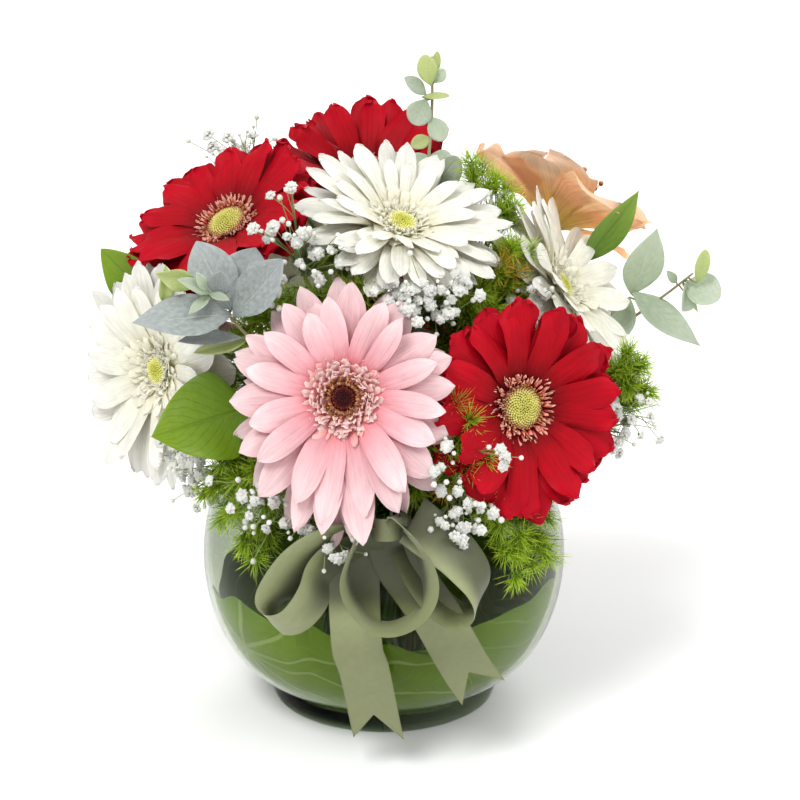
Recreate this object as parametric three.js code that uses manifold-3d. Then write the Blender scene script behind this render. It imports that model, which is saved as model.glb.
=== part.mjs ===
// Gerberas in a round glass vase: a hand-tied dome of flowers and foliage, with a ribbon bow in front.
// Millimetres, +Z up. The front of the bouquet faces -Y, and the origin is the centre of the
// underside of the vase's foot. An azimuth is counted from +X towards +Y, in degrees.
import * as THREE from 'three';
import { mergeVertices } from 'three/addons/utils/BufferGeometryUtils.js';
import Module from 'manifold-3d';

const wasm = await Module();
wasm.setup();

// ---------------------------------------------------------------- driving dimensions

const bowl = {
  radius: 95, centreHeight: 77.7, wall: 3, footRadius: 59.5, footHeight: 4.5,
  baseThickness: 7, rimHeight: 151, rimRoll: 1.6, segments: 36,
};
const lining = { thickness: 1, gap: 0.5, low: 16, high: 84, span: 112 };
const tie = { height: 138, drop: 4, inner: 27, thickness: 2.4, width: 10 };

// Stems cross the tie on four rings, and lean as a spiral: the thick ones hold the flowers.
const ring = { core: 8, inner: 13, middle: 18, outer: 24 };
const stems = { footHeight: 11, footSpread: 1.2, leaveLength: 24 };
const stemRadius = { gerbera: 2.8, peach: 2.4, eucalyptus: 1.6, leaf: 1.2, fern: 1, gypsophila: 0.9 };

const head = { petals: 12, calyxDepth: 13, calyxRadius: 10.5, discRadius: 12, discRise: 4, notch: 0.86 };
const ribbon = { width: 25, thickness: 1, front: -97 };
const wireRadius = 0.8;

const colours = {
  glass: 0xdfe8e4, liningLeaf: 0x3c6b34, tie: 0xa08a5a, ribbon: 0x8a9470, wire: 0x5c6b45,
  red: 0xc40026, pink: 0xf0b6b8, white: 0xf4f2ea, peach: 0xf0b98c,
  eucalyptus: 0x93a79b, leaf: 0x6aa31c, fern: 0x5e9430, gypsophila: 0xf2f4ee,
};

// ---------------------------------------------------------------- the plants, each one grown piece

// Each flower's centre, and the azimuth and elevation it faces.
const gerberas = [
  {
    name: 'gerbera_pink_front', colour: 'pink', at: [-18.5, -86, 192], facing: [-93, 20],
    radius: 55, cup: 5, ring: 'middle', tieAzimuth: 208,
  },
  {
    name: 'gerbera_red_front', colour: 'red', at: [68.5, -62, 179], facing: [-64, 15],
    radius: 53, cup: 5, ring: 'middle', tieAzimuth: 268,
  },
  {
    name: 'gerbera_white_left', colour: 'white', at: [-112, -16, 183], facing: [-137, 6],
    radius: 54, cup: 6, ring: 'middle', tieAzimuth: 140,
  },
  {
    name: 'gerbera_red_left', colour: 'red', at: [-79, 18, 249], facing: [-133, 56], radius: 52,
    cup: 5, ring: 'core', tieAzimuth: 130,
  },
  {
    name: 'gerbera_white_top', colour: 'white', at: [8.5, -20, 259], facing: [-57, 60],
    radius: 53, cup: 8, ring: 'core', tieAzimuth: 244,
  },
  {
    name: 'gerbera_red_top', colour: 'red', at: [-10, 66, 261], facing: [-98, 69], radius: 52,
    cup: 10, ring: 'core', tieAzimuth: 68,
  },
  {
    name: 'gerbera_white_right', colour: 'white', at: [90, 15, 217], facing: [-21, 36],
    radius: 55, cup: 8, ring: 'middle', tieAzimuth: 318,
  },
  {
    name: 'gerbera_pink_back', colour: 'pink', at: [-104, 62, 182], facing: [155, 22],
    radius: 52, cup: 6, ring: 'middle', tieAzimuth: 119,
  },
  {
    name: 'gerbera_white_back', colour: 'white', at: [-36, 113, 206], facing: [104, 34],
    radius: 52, cup: 6, ring: 'middle', tieAzimuth: 98,
  },
  {
    name: 'gerbera_red_back', colour: 'red', at: [46, 114, 172], facing: [66, 20], radius: 52,
    cup: 6, ring: 'middle', tieAzimuth: 36,
  },
];

const peachFlower = {
  name: 'alstroemeria_peach', at: [90, 78, 231], facing: [72, 44], length: 44, mouth: 42,
  ring: 'core', tieAzimuth: 20,
};

// Each sprig runs through its points, and its leaves start at `bare` of its length above the tie.
const eucalyptus = [
  {
    name: 'eucalyptus_left', through: [[-60, -56, 208], [-84, -58, 236]], pairs: 3, bare: 0.66,
    leaf: [34, 24], ring: 'middle', tieAzimuth: 172,
  },
  {
    name: 'eucalyptus_top', through: [[22, 8, 240], [23, 31, 277], [25, 47, 303], [25, 51, 330]],
    pairs: 3, bare: 0.74, leaf: [15, 12], ring: 'core', tieAzimuth: 330,
  },
  {
    name: 'eucalyptus_right',
    through: [[58, 32, 158], [104, 62, 163], [134, 58, 188], [150, 38, 208], [160, 24, 222]],
    pairs: 3, bare: 0.82, leaf: [28, 17], ring: 'middle', tieAzimuth: 347,
  },
  {
    name: 'eucalyptus_back', through: [[20, 76, 196], [27, 100, 232], [24, 122, 256]], pairs: 3,
    bare: 0.7, leaf: [26, 18], ring: 'middle', tieAzimuth: 57,
  },
];

// A broad leaf: where its stalk ends, where its tip is, its width, and which way its face looks.
const broadLeaves = [
  {
    name: 'broad_leaf_front_left', base: [-66, -64, 179], tip: [-110, -80, 171], width: 44,
    looks: [-100, 30], ring: 'outer', tieAzimuth: 197,
  },
  {
    name: 'broad_leaf_left', base: [-116, 8, 210], tip: [-145, 18, 237], width: 22,
    looks: [-120, 10], ring: 'outer', tieAzimuth: 157,
  },
  {
    name: 'broad_leaf_right', base: [112, 76, 214], tip: [136, 76, 252], width: 24,
    looks: [-60, 30], ring: 'outer', tieAzimuth: 356,
  },
  {
    name: 'broad_leaf_inner_right', base: [97, 58, 210], tip: [84, 46, 236], width: 16,
    looks: [-80, 30], ring: 'outer', tieAzimuth: 342,
  },
  {
    name: 'broad_leaf_back_left', base: [-58, 84, 250], tip: [-88, 100, 262], width: 30,
    looks: [130, 60], ring: 'inner', tieAzimuth: 92,
  },
  {
    name: 'broad_leaf_back', base: [6, 104, 152], tip: [8, 142, 140], width: 38, looks: [90, 60],
    ring: 'outer', tieAzimuth: 68,
  },
  {
    name: 'broad_leaf_back_right', base: [88, 72, 160], tip: [120, 98, 155], width: 36,
    looks: [40, 60], ring: 'outer', tieAzimuth: 17,
  },
];

// A fern spray ends in a soft plume of the given length and radius.
const ferns = [
  {
    name: 'fern_right', through: [[96, -14, 168], [130, -16, 184]], plume: 46, radius: 7,
    ring: 'outer', tieAzimuth: 318,
  },
  {
    name: 'fern_front_right', through: [[50, -54, 156], [72, -66, 130], [74, -68, 112]],
    plume: 46, radius: 7, ring: 'outer', tieAzimuth: 270,
  },
  {
    name: 'fern_front_left', through: [[-48, -52, 158], [-70, -66, 128]], plume: 46, radius: 8,
    ring: 'outer', tieAzimuth: 188,
  },
  {
    name: 'fern_front', through: [[12, -42, 158], [22, -60, 162], [30, -76, 154]], plume: 28,
    radius: 6, ring: 'outer', tieAzimuth: 248,
  },
  {
    name: 'fern_top_left', through: [[-14, -34, 214], [-22, -42, 240]], plume: 26, radius: 5,
    ring: 'inner', tieAzimuth: 200,
  },
  {
    name: 'fern_top_right', through: [[44, -14, 214], [52, 2, 246]], plume: 40, radius: 6,
    ring: 'inner', tieAzimuth: 290,
  },
  {
    name: 'fern_back_left', through: [[-66, 66, 160], [-104, 84, 140]], plume: 46, radius: 8,
    ring: 'outer', tieAzimuth: 111,
  },
  {
    name: 'fern_back_right', through: [[60, 66, 156], [88, 100, 146]], plume: 46, radius: 8,
    ring: 'outer', tieAzimuth: 30,
  },
];

// A gypsophila spray: a thin stem that divides into short branches, each with a cluster of flowers.
const gypsophila = [
  {
    name: 'gypsophila_top_left', through: [[-36, -30, 226], [-43, -39, 257]], spread: 11,
    ring: 'inner', tieAzimuth: 170,
  },
  {
    name: 'gypsophila_top', through: [[18, -38, 214], [24, -48, 232]], spread: 15, ring: 'inner',
    tieAzimuth: 250,
  },
  {
    name: 'gypsophila_front_right', through: [[31, -54, 161], [35, -92, 129]], spread: 10,
    ring: 'outer', tieAzimuth: 259,
  },
  {
    name: 'gypsophila_front_left', through: [[-30, -56, 159], [-46, -88, 136]], spread: 15,
    ring: 'outer', tieAzimuth: 204,
  },
  {
    name: 'gypsophila_left', through: [[-58, -22, 162], [-88, -46, 126]], spread: 11,
    ring: 'outer', tieAzimuth: 176,
  },
  {
    name: 'gypsophila_right', through: [[88, -22, 156], [124, -32, 154]], spread: 12,
    ring: 'outer', tieAzimuth: 309,
  },
  {
    name: 'gypsophila_top_back', through: [[-58, 66, 236], [-76, 80, 276]], spread: 12,
    ring: 'inner', tieAzimuth: 108,
  },
  {
    name: 'gypsophila_back_left', through: [[-60, 88, 168], [-76, 118, 160]], spread: 13,
    ring: 'outer', tieAzimuth: 88,
  },
  {
    name: 'gypsophila_back_right', through: [[84, 52, 168], [114, 80, 186]], spread: 12,
    ring: 'outer', tieAzimuth: 8,
  },
];

// ---------------------------------------------------------------- geometry helpers

const vector = ([x, y, z]) => new THREE.Vector3(x, y, z);
const radians = THREE.MathUtils.degToRad;
const up = new THREE.Vector3(0, 0, 1);

// The unit vector that an azimuth and an elevation give.
function direction([azimuth, elevation]) {
  const level = Math.cos(radians(elevation));
  return new THREE.Vector3(
    level * Math.cos(radians(azimuth)),
    level * Math.sin(radians(azimuth)),
    Math.sin(radians(elevation)),
  );
}

function weld(geometry) {
  const bare = geometry.clone();
  bare.deleteAttribute('normal');
  bare.deleteAttribute('uv');
  return mergeVertices(bare, 1e-4);
}

function solid(geometry) {
  const welded = weld(geometry);
  return new wasm.Manifold(new wasm.Mesh({
    numProp: 3,
    vertProperties: welded.attributes.position.array,
    triVerts: new Uint32Array(welded.index.array),
  }));
}

function join(geometries) {
  const joined = geometries.map(solid).reduce((whole, piece) => whole.add(piece));
  const mesh = joined.getMesh();
  const geometry = new THREE.BufferGeometry();
  geometry.setAttribute('position', new THREE.BufferAttribute(mesh.vertProperties, 3));
  geometry.setIndex(new THREE.BufferAttribute(mesh.triVerts, 1));
  geometry.computeVertexNormals();
  return geometry;
}

// A turned solid about +Z from [radius, height] pairs that start low on the axis and end high on it.
function turned(profile, segments) {
  const points = profile.map(([radius, height]) => new THREE.Vector2(radius, height));
  return new THREE.LatheGeometry(points, segments).rotateX(Math.PI / 2);
}

// Moves a solid that stands on the origin along +Z to a place, with its +Z turned to a direction.
function stand(geometry, place, facing) {
  geometry.applyQuaternion(new THREE.Quaternion().setFromUnitVectors(up, facing));
  return geometry.translate(place.x, place.y, place.z);
}

// Bends a turned solid onto a curve: its height becomes the distance along the curve.
function bendOnto(geometry, curve) {
  const position = geometry.attributes.position;
  const length = curve.getLength();
  const start = curve.getPointAt(0);
  const end = curve.getPointAt(1);
  const side = new THREE.Vector3(end.y - start.y, start.x - end.x, 0.2).normalize();
  for (let i = 0; i < position.count; i += 1) {
    const along = THREE.MathUtils.clamp(position.getZ(i) / length, 0, 1);
    const tangent = curve.getTangentAt(along);
    const across = side.clone().addScaledVector(tangent, -side.dot(tangent)).normalize();
    const third = new THREE.Vector3().crossVectors(tangent, across);
    const point = curve.getPointAt(along)
      .addScaledVector(across, position.getX(i))
      .addScaledVector(third, position.getY(i));
    position.setXYZ(i, point.x, point.y, point.z);
  }
  return geometry;
}

// ---------------------------------------------------------------- stems

// Stems are straight lines up to the tie, all leaning the same way round, so none meets another.
function tiePoint(plant) {
  const radius = ring[plant.ring];
  const angle = radians(plant.tieAzimuth);
  return new THREE.Vector3(radius * Math.cos(angle), radius * Math.sin(angle), tie.height);
}

function footPoint(plant) {
  const { x, y } = tiePoint(plant);
  return new THREE.Vector3(x + stems.footSpread * y, y - stems.footSpread * x, stems.footHeight);
}

// The stem's line: from its foot, through the tie and the given points, ending along a direction.
function stemCurve(plant, points, ending) {
  const foot = footPoint(plant);
  const held = tiePoint(plant);
  const lean = held.clone().sub(foot).normalize();
  const path = new THREE.CurvePath();
  path.add(new THREE.LineCurve3(foot, held));
  const leaving = held.clone().addScaledVector(lean, stems.leaveLength);
  const last = points[points.length - 1];
  if (points.length === 1) {
    const arriving = last.clone().addScaledVector(ending, -0.4 * held.distanceTo(last));
    path.add(new THREE.CubicBezierCurve3(held, leaving, arriving, last));
  } else {
    path.add(new THREE.CatmullRomCurve3([held, leaving, ...points], false, 'centripetal'));
  }
  return path;
}

// Distances along a stem at which it gets a ring of points: one at the tie, then evenly to the end.
function stations(curve, bends) {
  const tieDistance = curve.curves[0].getLength();
  const total = curve.getLength();
  const distances = [0, tieDistance];
  for (let i = 1; i <= bends; i += 1) {
    distances.push(tieDistance + (total - tieDistance) * i / bends);
  }
  return distances;
}

function stemSolid(curve, radius, sides, bends) {
  const rings = stations(curve, bends).map((distance) => [radius, distance]);
  const profile = [[0, 0], ...rings, [0, curve.getLength()]];
  return bendOnto(turned(profile, sides), curve);
}

// ---------------------------------------------------------------- flowers

// A gerbera's head: a green calyx, a shallow dish of petals with a notched edge, and the eye.
// It stands on the origin, and its centre is calyxDepth above that.
function gerberaHead({ radius, cup }) {
  const rise = radius * Math.tan(radians(cup));
  const { calyxDepth, calyxRadius, discRadius, discRise, petals, notch } = head;
  const profile = [
    [0, 0],
    [stemRadius.gerbera + 0.8, 0],
    [calyxRadius, calyxDepth - 3],
    [radius, calyxDepth + rise],
    [radius - 1, calyxDepth + rise + 1.5],
    [discRadius, calyxDepth + 2],
    [discRadius - 3, calyxDepth + 2 + discRise],
    [0, calyxDepth + 3 + discRise],
  ];
  const geometry = turned(profile, petals * 2);
  const position = geometry.attributes.position;
  for (let i = 0; i < position.count; i += 1) {
    const reach = Math.hypot(position.getX(i), position.getY(i));
    const step = Math.round(Math.atan2(position.getY(i), position.getX(i)) / Math.PI * petals);
    if (reach > radius / 2 && step % 2 !== 0) {
      position.setX(i, position.getX(i) * notch);
      position.setY(i, position.getY(i) * notch);
    }
  }
  return geometry;
}

function gerbera(plant) {
  const facing = direction(plant.facing);
  const seat = vector(plant.at).addScaledVector(facing, -head.calyxDepth);
  const stemEnd = seat.clone().addScaledVector(facing, 2);
  const curve = stemCurve(plant, [stemEnd], facing);
  return join([
    stemSolid(curve, stemRadius.gerbera, 6, 7),
    stand(gerberaHead(plant), seat, facing),
  ]);
}

// The peach flower: six broad petals in a funnel, built as a closed cup with a wavy mouth.
function funnelFlower(plant) {
  const facing = direction(plant.facing);
  const place = vector(plant.at);
  const { length, mouth } = plant;
  const profile = [
    [0, 0], [4, 0], [9, 8], [mouth * 0.62, length * 0.62], [mouth, length],
    [mouth - 1.5, length + 1], [mouth * 0.5, length * 0.66], [5, 12], [0, 11],
  ];
  const curve = stemCurve(plant, [place.clone().addScaledVector(facing, 2)], facing);
  return join([
    stemSolid(curve, stemRadius.peach, 6, 7),
    stand(turned(profile, 18), place, facing),
  ]);
}

// ---------------------------------------------------------------- foliage

// A flat leaf that starts at the origin and points along +Y, with its face towards +Z.
function blade(length, width, thickness, curl) {
  const outline = new THREE.Shape();
  outline.moveTo(-0.8, 0);
  outline.quadraticCurveTo(-width * 0.72, length * 0.38, 0, length);
  outline.quadraticCurveTo(width * 0.72, length * 0.38, 0.8, 0);
  outline.closePath();
  const geometry = new THREE.ExtrudeGeometry(outline, {
    depth: thickness, bevelEnabled: false, curveSegments: 4,
  });
  const position = geometry.attributes.position;
  for (let i = 0; i < position.count; i += 1) {
    const y = position.getY(i) / length;
    position.setZ(i, position.getZ(i) - thickness / 2 - curl * y * y);
  }
  return geometry;
}

// Lays a leaf at a place, pointing along `towards`, with its face turned as near `looks` as it can.
function lay(geometry, place, towards, looks) {
  const along = towards.clone().normalize();
  const across = new THREE.Vector3().crossVectors(along, looks).normalize();
  const face = new THREE.Vector3().crossVectors(across, along);
  const basis = new THREE.Matrix4().makeBasis(across, along, face).setPosition(place);
  return geometry.applyMatrix4(basis);
}

function eucalyptusSprig(plant) {
  const points = plant.through.map(vector);
  const curve = stemCurve(plant, points);
  const pieces = [stemSolid(curve, stemRadius.eucalyptus, 5, 9)];
  const [length, width] = plant.leaf;
  for (let pair = 0; pair < plant.pairs; pair += 1) {
    const share = plant.bare + (0.99 - plant.bare) * (pair + 1) / plant.pairs;
    const place = curve.getPointAt(share);
    const tangent = curve.getTangentAt(share);
    const level = new THREE.Vector3().crossVectors(tangent, up).normalize();
    const across = level.applyAxisAngle(tangent, radians(90 * pair));
    const size = 1 - 0.14 * pair;
    for (const side of [-1, 1]) {
      const towards = across.clone().multiplyScalar(side).addScaledVector(tangent, 0.5);
      const leaf = blade(length * size, width * size, 1.2, -2);
      pieces.push(lay(leaf, place.clone(), towards, tangent));
    }
  }
  return join(pieces);
}

function broadLeaf(plant) {
  const base = vector(plant.base);
  const towards = vector(plant.tip).sub(base);
  const along = towards.clone().normalize();
  const curve = stemCurve(plant, [base.clone().addScaledVector(along, 3)], along);
  const leaf = blade(towards.length(), plant.width, 1.4, 4);
  return join([
    stemSolid(curve, stemRadius.leaf, 5, 7),
    lay(leaf, base, towards, direction(plant.looks)),
  ]);
}

function fernSpray(plant) {
  const curve = stemCurve(plant, plant.through.map(vector));
  const total = curve.getLength();
  const bare = total - plant.plume;
  const low = stations(curve, 8).filter((distance) => distance < bare - 2);
  const profile = [
    [0, 0],
    ...low.map((distance) => [stemRadius.fern, distance]),
    [stemRadius.fern, bare],
    [plant.radius * 0.8, bare + plant.plume * 0.3],
    [plant.radius, bare + plant.plume * 0.6],
    [plant.radius * 0.6, bare + plant.plume * 0.87],
    [0, total],
  ];
  return bendOnto(turned(profile, 6), curve);
}

function gypsophilaSpray(plant) {
  const curve = stemCurve(plant, plant.through.map(vector));
  const tip = curve.getPointAt(1);
  const tangent = curve.getTangentAt(1);
  const fork = curve.getPointAt(0.93);
  const level = new THREE.Vector3().crossVectors(tangent, up).normalize();
  const pieces = [
    stemSolid(curve, stemRadius.gypsophila, 4, 7),
    new THREE.OctahedronGeometry(4.5, 0).translate(tip.x, tip.y, tip.z),
  ];
  for (let branch = 0; branch < 3; branch += 1) {
    const out = level.clone().applyAxisAngle(tangent, radians(120 * branch + 30));
    const end = fork.clone().addScaledVector(out, plant.spread).addScaledVector(tangent, 8);
    const run = end.clone().sub(fork);
    const twig = new THREE.CylinderGeometry(0.7, 0.7, run.length(), 4).rotateX(Math.PI / 2);
    twig.translate(0, 0, run.length() / 2);
    pieces.push(stand(twig, fork, run.normalize()));
    pieces.push(new THREE.OctahedronGeometry(4.5, 0).translate(end.x, end.y, end.z));
  }
  return join(pieces);
}

// ---------------------------------------------------------------- vase, lining and tie

function bowlArc(radius, fromHeight, toHeight, steps) {
  const angleAt = (height) => Math.asin((height - bowl.centreHeight) / radius);
  const first = angleAt(fromHeight);
  const last = angleAt(toHeight);
  return Array.from({ length: steps + 1 }, (_, i) => {
    const angle = first + (last - first) * i / steps;
    return [radius * Math.cos(angle), bowl.centreHeight + radius * Math.sin(angle)];
  });
}

function glassVase() {
  const inner = bowl.radius - bowl.wall;
  const waist = bowl.footRadius - 1;
  const outside = bowlArc(bowl.radius, bowl.footHeight + 3, bowl.rimHeight, 10);
  const inside = bowlArc(inner, bowl.baseThickness + 3, bowl.rimHeight, 9).reverse();
  const rimRadius = outside[outside.length - 1][0];
  return turned([
    [0, 0],
    [bowl.footRadius, 0],
    [bowl.footRadius, bowl.footHeight],
    [waist, bowl.footHeight + 1],
    ...outside,
    [rimRadius, bowl.rimHeight + bowl.rimRoll],
    [rimRadius - bowl.wall + 0.6, bowl.rimHeight + bowl.rimRoll],
    ...inside,
    [bowl.footRadius * 0.8, bowl.baseThickness],
    [0, bowl.baseThickness],
  ], bowl.segments);
}

// A leaf that follows the inside of the bowl, as a thin shell between two heights.
function liningLeaf(middleAzimuth) {
  const outer = bowl.radius - bowl.wall - lining.gap - 0.6;
  const columns = 10;
  const rows = 4;
  const geometry = new THREE.BoxGeometry(columns, rows, 1, columns, rows, 1);
  const position = geometry.attributes.position;
  for (let i = 0; i < position.count; i += 1) {
    const across = position.getX(i) / columns;
    const share = position.getY(i) / rows + 0.5;
    const radius = position.getZ(i) > 0 ? outer : outer - lining.thickness;
    const pointed = 1 - Math.abs(across) * 0.9;
    const height = lining.low + (lining.high - lining.low) * share * pointed;
    const reach = Math.sqrt(radius ** 2 - (height - bowl.centreHeight) ** 2);
    const angle = radians(middleAzimuth + across * lining.span);
    position.setXYZ(i, reach * Math.cos(angle), reach * Math.sin(angle), height);
  }
  return geometry;
}

function stemTie() {
  const half = tie.width / 2;
  const outer = tie.inner + tie.thickness;
  const middle = tie.height - tie.drop;
  const profile = [
    [tie.inner, middle - half],
    [outer, middle - half],
    [outer + 0.5, middle],
    [outer, middle + half],
    [tie.inner, middle + half],
    [tie.inner, middle - half],
  ];
  return turned(profile, 28);
}

// ---------------------------------------------------------------- ribbon bow

// A strip of ribbon along a line drawn in the X-Z plane, with its width along Y.
function loopBand(points) {
  const line = new THREE.CatmullRomCurve3(points.map(([x, z]) => new THREE.Vector3(x, z, 0)));
  const count = 12;
  const outline = new THREE.Shape();
  const edge = (side) => Array.from({ length: count + 1 }, (_, i) => {
    const point = line.getPointAt(i / count);
    const tangent = line.getTangentAt(i / count);
    const half = side * ribbon.thickness / 2;
    return new THREE.Vector2(point.x - tangent.y * half, point.y + tangent.x * half);
  });
  outline.setFromPoints([...edge(-1), ...edge(1).reverse()]);
  const geometry = new THREE.ExtrudeGeometry(outline, { depth: ribbon.width, bevelEnabled: false });
  return geometry.rotateX(Math.PI / 2).translate(0, ribbon.front, 0);
}

// A tail that hangs flat, facing the front, from its top to its notched end.
function tail(top, bottom, lean) {
  const half = ribbon.width / 2;
  const outline = new THREE.Shape();
  outline.moveTo(-half, 0);
  outline.lineTo(half, 0);
  outline.lineTo(half + lean, bottom[1] - top[1]);
  outline.lineTo(lean, bottom[1] - top[1] + half);
  outline.lineTo(-half + lean, bottom[1] - top[1]);
  outline.closePath();
  const geometry = new THREE.ExtrudeGeometry(outline, { depth: ribbon.thickness, bevelEnabled: false });
  return geometry.rotateX(Math.PI / 2).translate(top[0], ribbon.front - 1, top[1]);
}

function ribbonBow() {
  const knot = new THREE.BoxGeometry(13, 12, 10).translate(4, ribbon.front - 6, 126);
  return join([
    knot,
    loopBand([[2, 130], [-14, 126], [-19, 108], [-12, 91], [2, 83], [18, 88], [25, 104], [22, 122], [6, 130]]),
    loopBand([[0, 128], [-30, 122], [-58, 96], [-52, 84], [-34, 90], [-10, 112], [0, 124]]),
    loopBand([[8, 128], [34, 120], [44, 104], [40, 84], [30, 84], [20, 104], [8, 122]]),
    tail([-7, 124], [-8, 14], -4),
    tail([18, 124], [34, 46], 16),
  ]);
}

// The wire that holds the bow: from its knot over the rim and down among the stems.
function bowWire() {
  const route = new THREE.CatmullRomCurve3([
    [4, ribbon.front - 4, 132], [5, ribbon.front + 8, 150], [6, -70, 161],
    [6, -54, 162], [6, -42, 150], [6, -36, 132],
  ].map(vector));
  const length = route.getLength();
  const rings = [0, 0.2, 0.4, 0.6, 0.8, 1].map((share) => [wireRadius, share * length]);
  return bendOnto(turned([[0, 0], ...rings, [0, length]], 5), route);
}

// ---------------------------------------------------------------- assembly

const bouquet = new THREE.Group();

function add(name, geometry, colour, roughness, look = {}) {
  const material = new THREE.MeshStandardMaterial({
    color: colours[colour], roughness, metalness: 0, ...look,
  });
  const mesh = new THREE.Mesh(geometry, material);
  mesh.name = name;
  bouquet.add(mesh);
}

add('glass_vase', glassVase(), 'glass', 0.05, { transparent: true, opacity: 0.35 });
add('lining_leaf_front', liningLeaf(-117), 'liningLeaf', 0.5);
add('lining_leaf_right', liningLeaf(3), 'liningLeaf', 0.5);
add('lining_leaf_left', liningLeaf(123), 'liningLeaf', 0.5);
add('stem_tie', stemTie(), 'tie', 0.8);
for (const plant of gerberas) add(plant.name, gerbera(plant), plant.colour, 0.6);
add(peachFlower.name, funnelFlower(peachFlower), 'peach', 0.6);
for (const plant of eucalyptus) add(plant.name, eucalyptusSprig(plant), 'eucalyptus', 0.6);
for (const plant of broadLeaves) add(plant.name, broadLeaf(plant), 'leaf', 0.45);
for (const plant of ferns) add(plant.name, fernSpray(plant), 'fern', 0.7);
for (const plant of gypsophila) add(plant.name, gypsophilaSpray(plant), 'gypsophila', 0.7);
add('ribbon_bow', ribbonBow(), 'ribbon', 0.4);
add('bow_wire', bowWire(), 'wire', 0.5);

export default bouquet;
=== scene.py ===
import collections
import math

import bpy
import numpy as np
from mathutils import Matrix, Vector


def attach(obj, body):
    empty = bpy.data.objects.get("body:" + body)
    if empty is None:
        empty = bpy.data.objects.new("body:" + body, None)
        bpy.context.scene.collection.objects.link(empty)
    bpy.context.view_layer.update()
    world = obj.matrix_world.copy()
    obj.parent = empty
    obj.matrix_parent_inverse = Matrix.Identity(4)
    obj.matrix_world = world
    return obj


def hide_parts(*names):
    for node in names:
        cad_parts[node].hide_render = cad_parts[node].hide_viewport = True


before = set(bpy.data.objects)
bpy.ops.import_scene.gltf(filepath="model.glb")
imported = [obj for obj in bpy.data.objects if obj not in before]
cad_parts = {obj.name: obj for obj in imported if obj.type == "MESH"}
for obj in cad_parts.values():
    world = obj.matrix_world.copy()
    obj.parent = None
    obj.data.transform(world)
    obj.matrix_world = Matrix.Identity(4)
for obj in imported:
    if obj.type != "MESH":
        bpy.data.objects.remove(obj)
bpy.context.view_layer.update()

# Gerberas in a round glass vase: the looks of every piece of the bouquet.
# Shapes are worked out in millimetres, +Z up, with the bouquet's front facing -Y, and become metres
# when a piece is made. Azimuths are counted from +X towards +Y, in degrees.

MM = 0.001
FULL_TURN = 2 * math.pi
GOLDEN_ANGLE = math.radians(137.508)
UP = np.array([0.0, 0.0, 1.0])

# ---------------------------------------------------------------- camera, light and floor

# The camera looks at the front from the photograph's height. Its place and lens are in millimetres.
CAMERA_TARGET = (8.5, 0.0, 161.0)
CAMERA_DISTANCE = 1250.0
CAMERA_ELEVATION = 19.3
CAMERA_LENS = 108.9
CAMERA_SENSOR = 36.0

# The lamps: place in metres, how wide each looks in degrees, and power.
LAMPS = {
    "key_lamp": ((-0.6, -0.8, 1.6), 26, 2.4),
    "side_lamp": ((1.4, -0.7, 1.2), 40, 1.1),
    "back_lamp": ((0.5, 1.4, 1.3), 40, 1.1),
}
LAMP_TARGET = (0, 0, 0.2)
SKY_STRENGTH = 0.64
VIEW_REACH = 50.0
FLOOR_REACH = 8.0


def add_object(name, data):
    """A new object of the scene, for a mesh, a lamp or a camera."""
    thing = bpy.data.objects.new(name, data)
    bpy.context.scene.collection.objects.link(thing)
    return thing


def point_at(thing, target):
    """Turns a camera or lamp so that its -Z axis points at a place given in metres."""
    thing.rotation_euler = (Vector(target) - thing.location).to_track_quat("-Z", "Y").to_euler()


def add_camera():
    camera = add_object("camera", bpy.data.cameras.new("camera"))
    angle = math.radians(CAMERA_ELEVATION)
    target = Vector(CAMERA_TARGET) * MM
    camera.location = target + Vector((0, -math.cos(angle), math.sin(angle))) * CAMERA_DISTANCE * MM
    point_at(camera, target)
    camera.data.sensor_width = CAMERA_SENSOR
    camera.data.lens = CAMERA_LENS
    camera.data.clip_end = VIEW_REACH
    bpy.context.scene.camera = camera


def add_lamps():
    """Broad, far lamps."""
    for name, (place, width, power) in LAMPS.items():
        lamp = add_object(name, bpy.data.lights.new(name, "SUN"))
        lamp.data.angle = math.radians(width)
        lamp.data.energy = power
        lamp.location = place
        point_at(lamp, LAMP_TARGET)


def add_sky():
    """An even white light from all round."""
    world = bpy.data.worlds.new("studio")
    world.use_nodes = True
    background = world.node_tree.nodes["Background"]
    background.inputs["Color"].default_value = (1, 1, 1, 1)
    background.inputs["Strength"].default_value = SKY_STRENGTH
    bpy.context.scene.world = world
    bpy.context.scene.view_settings.view_transform = "Standard"


# ---------------------------------------------------------------- node helpers


def srgb(colour):
    """A linear colour from display values of 0 to 255."""
    values = [c / 255 for c in colour]
    return tuple(c / 12.92 if c <= 0.04045 else ((c + 0.055) / 1.055) ** 2.4 for c in values) + (1,)


def stops_at(places, colours):
    """The stops of a ramp, from places between 0 and 1 and display colours."""
    return [(place, srgb(colour)) for place, colour in zip(places, colours)]


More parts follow.
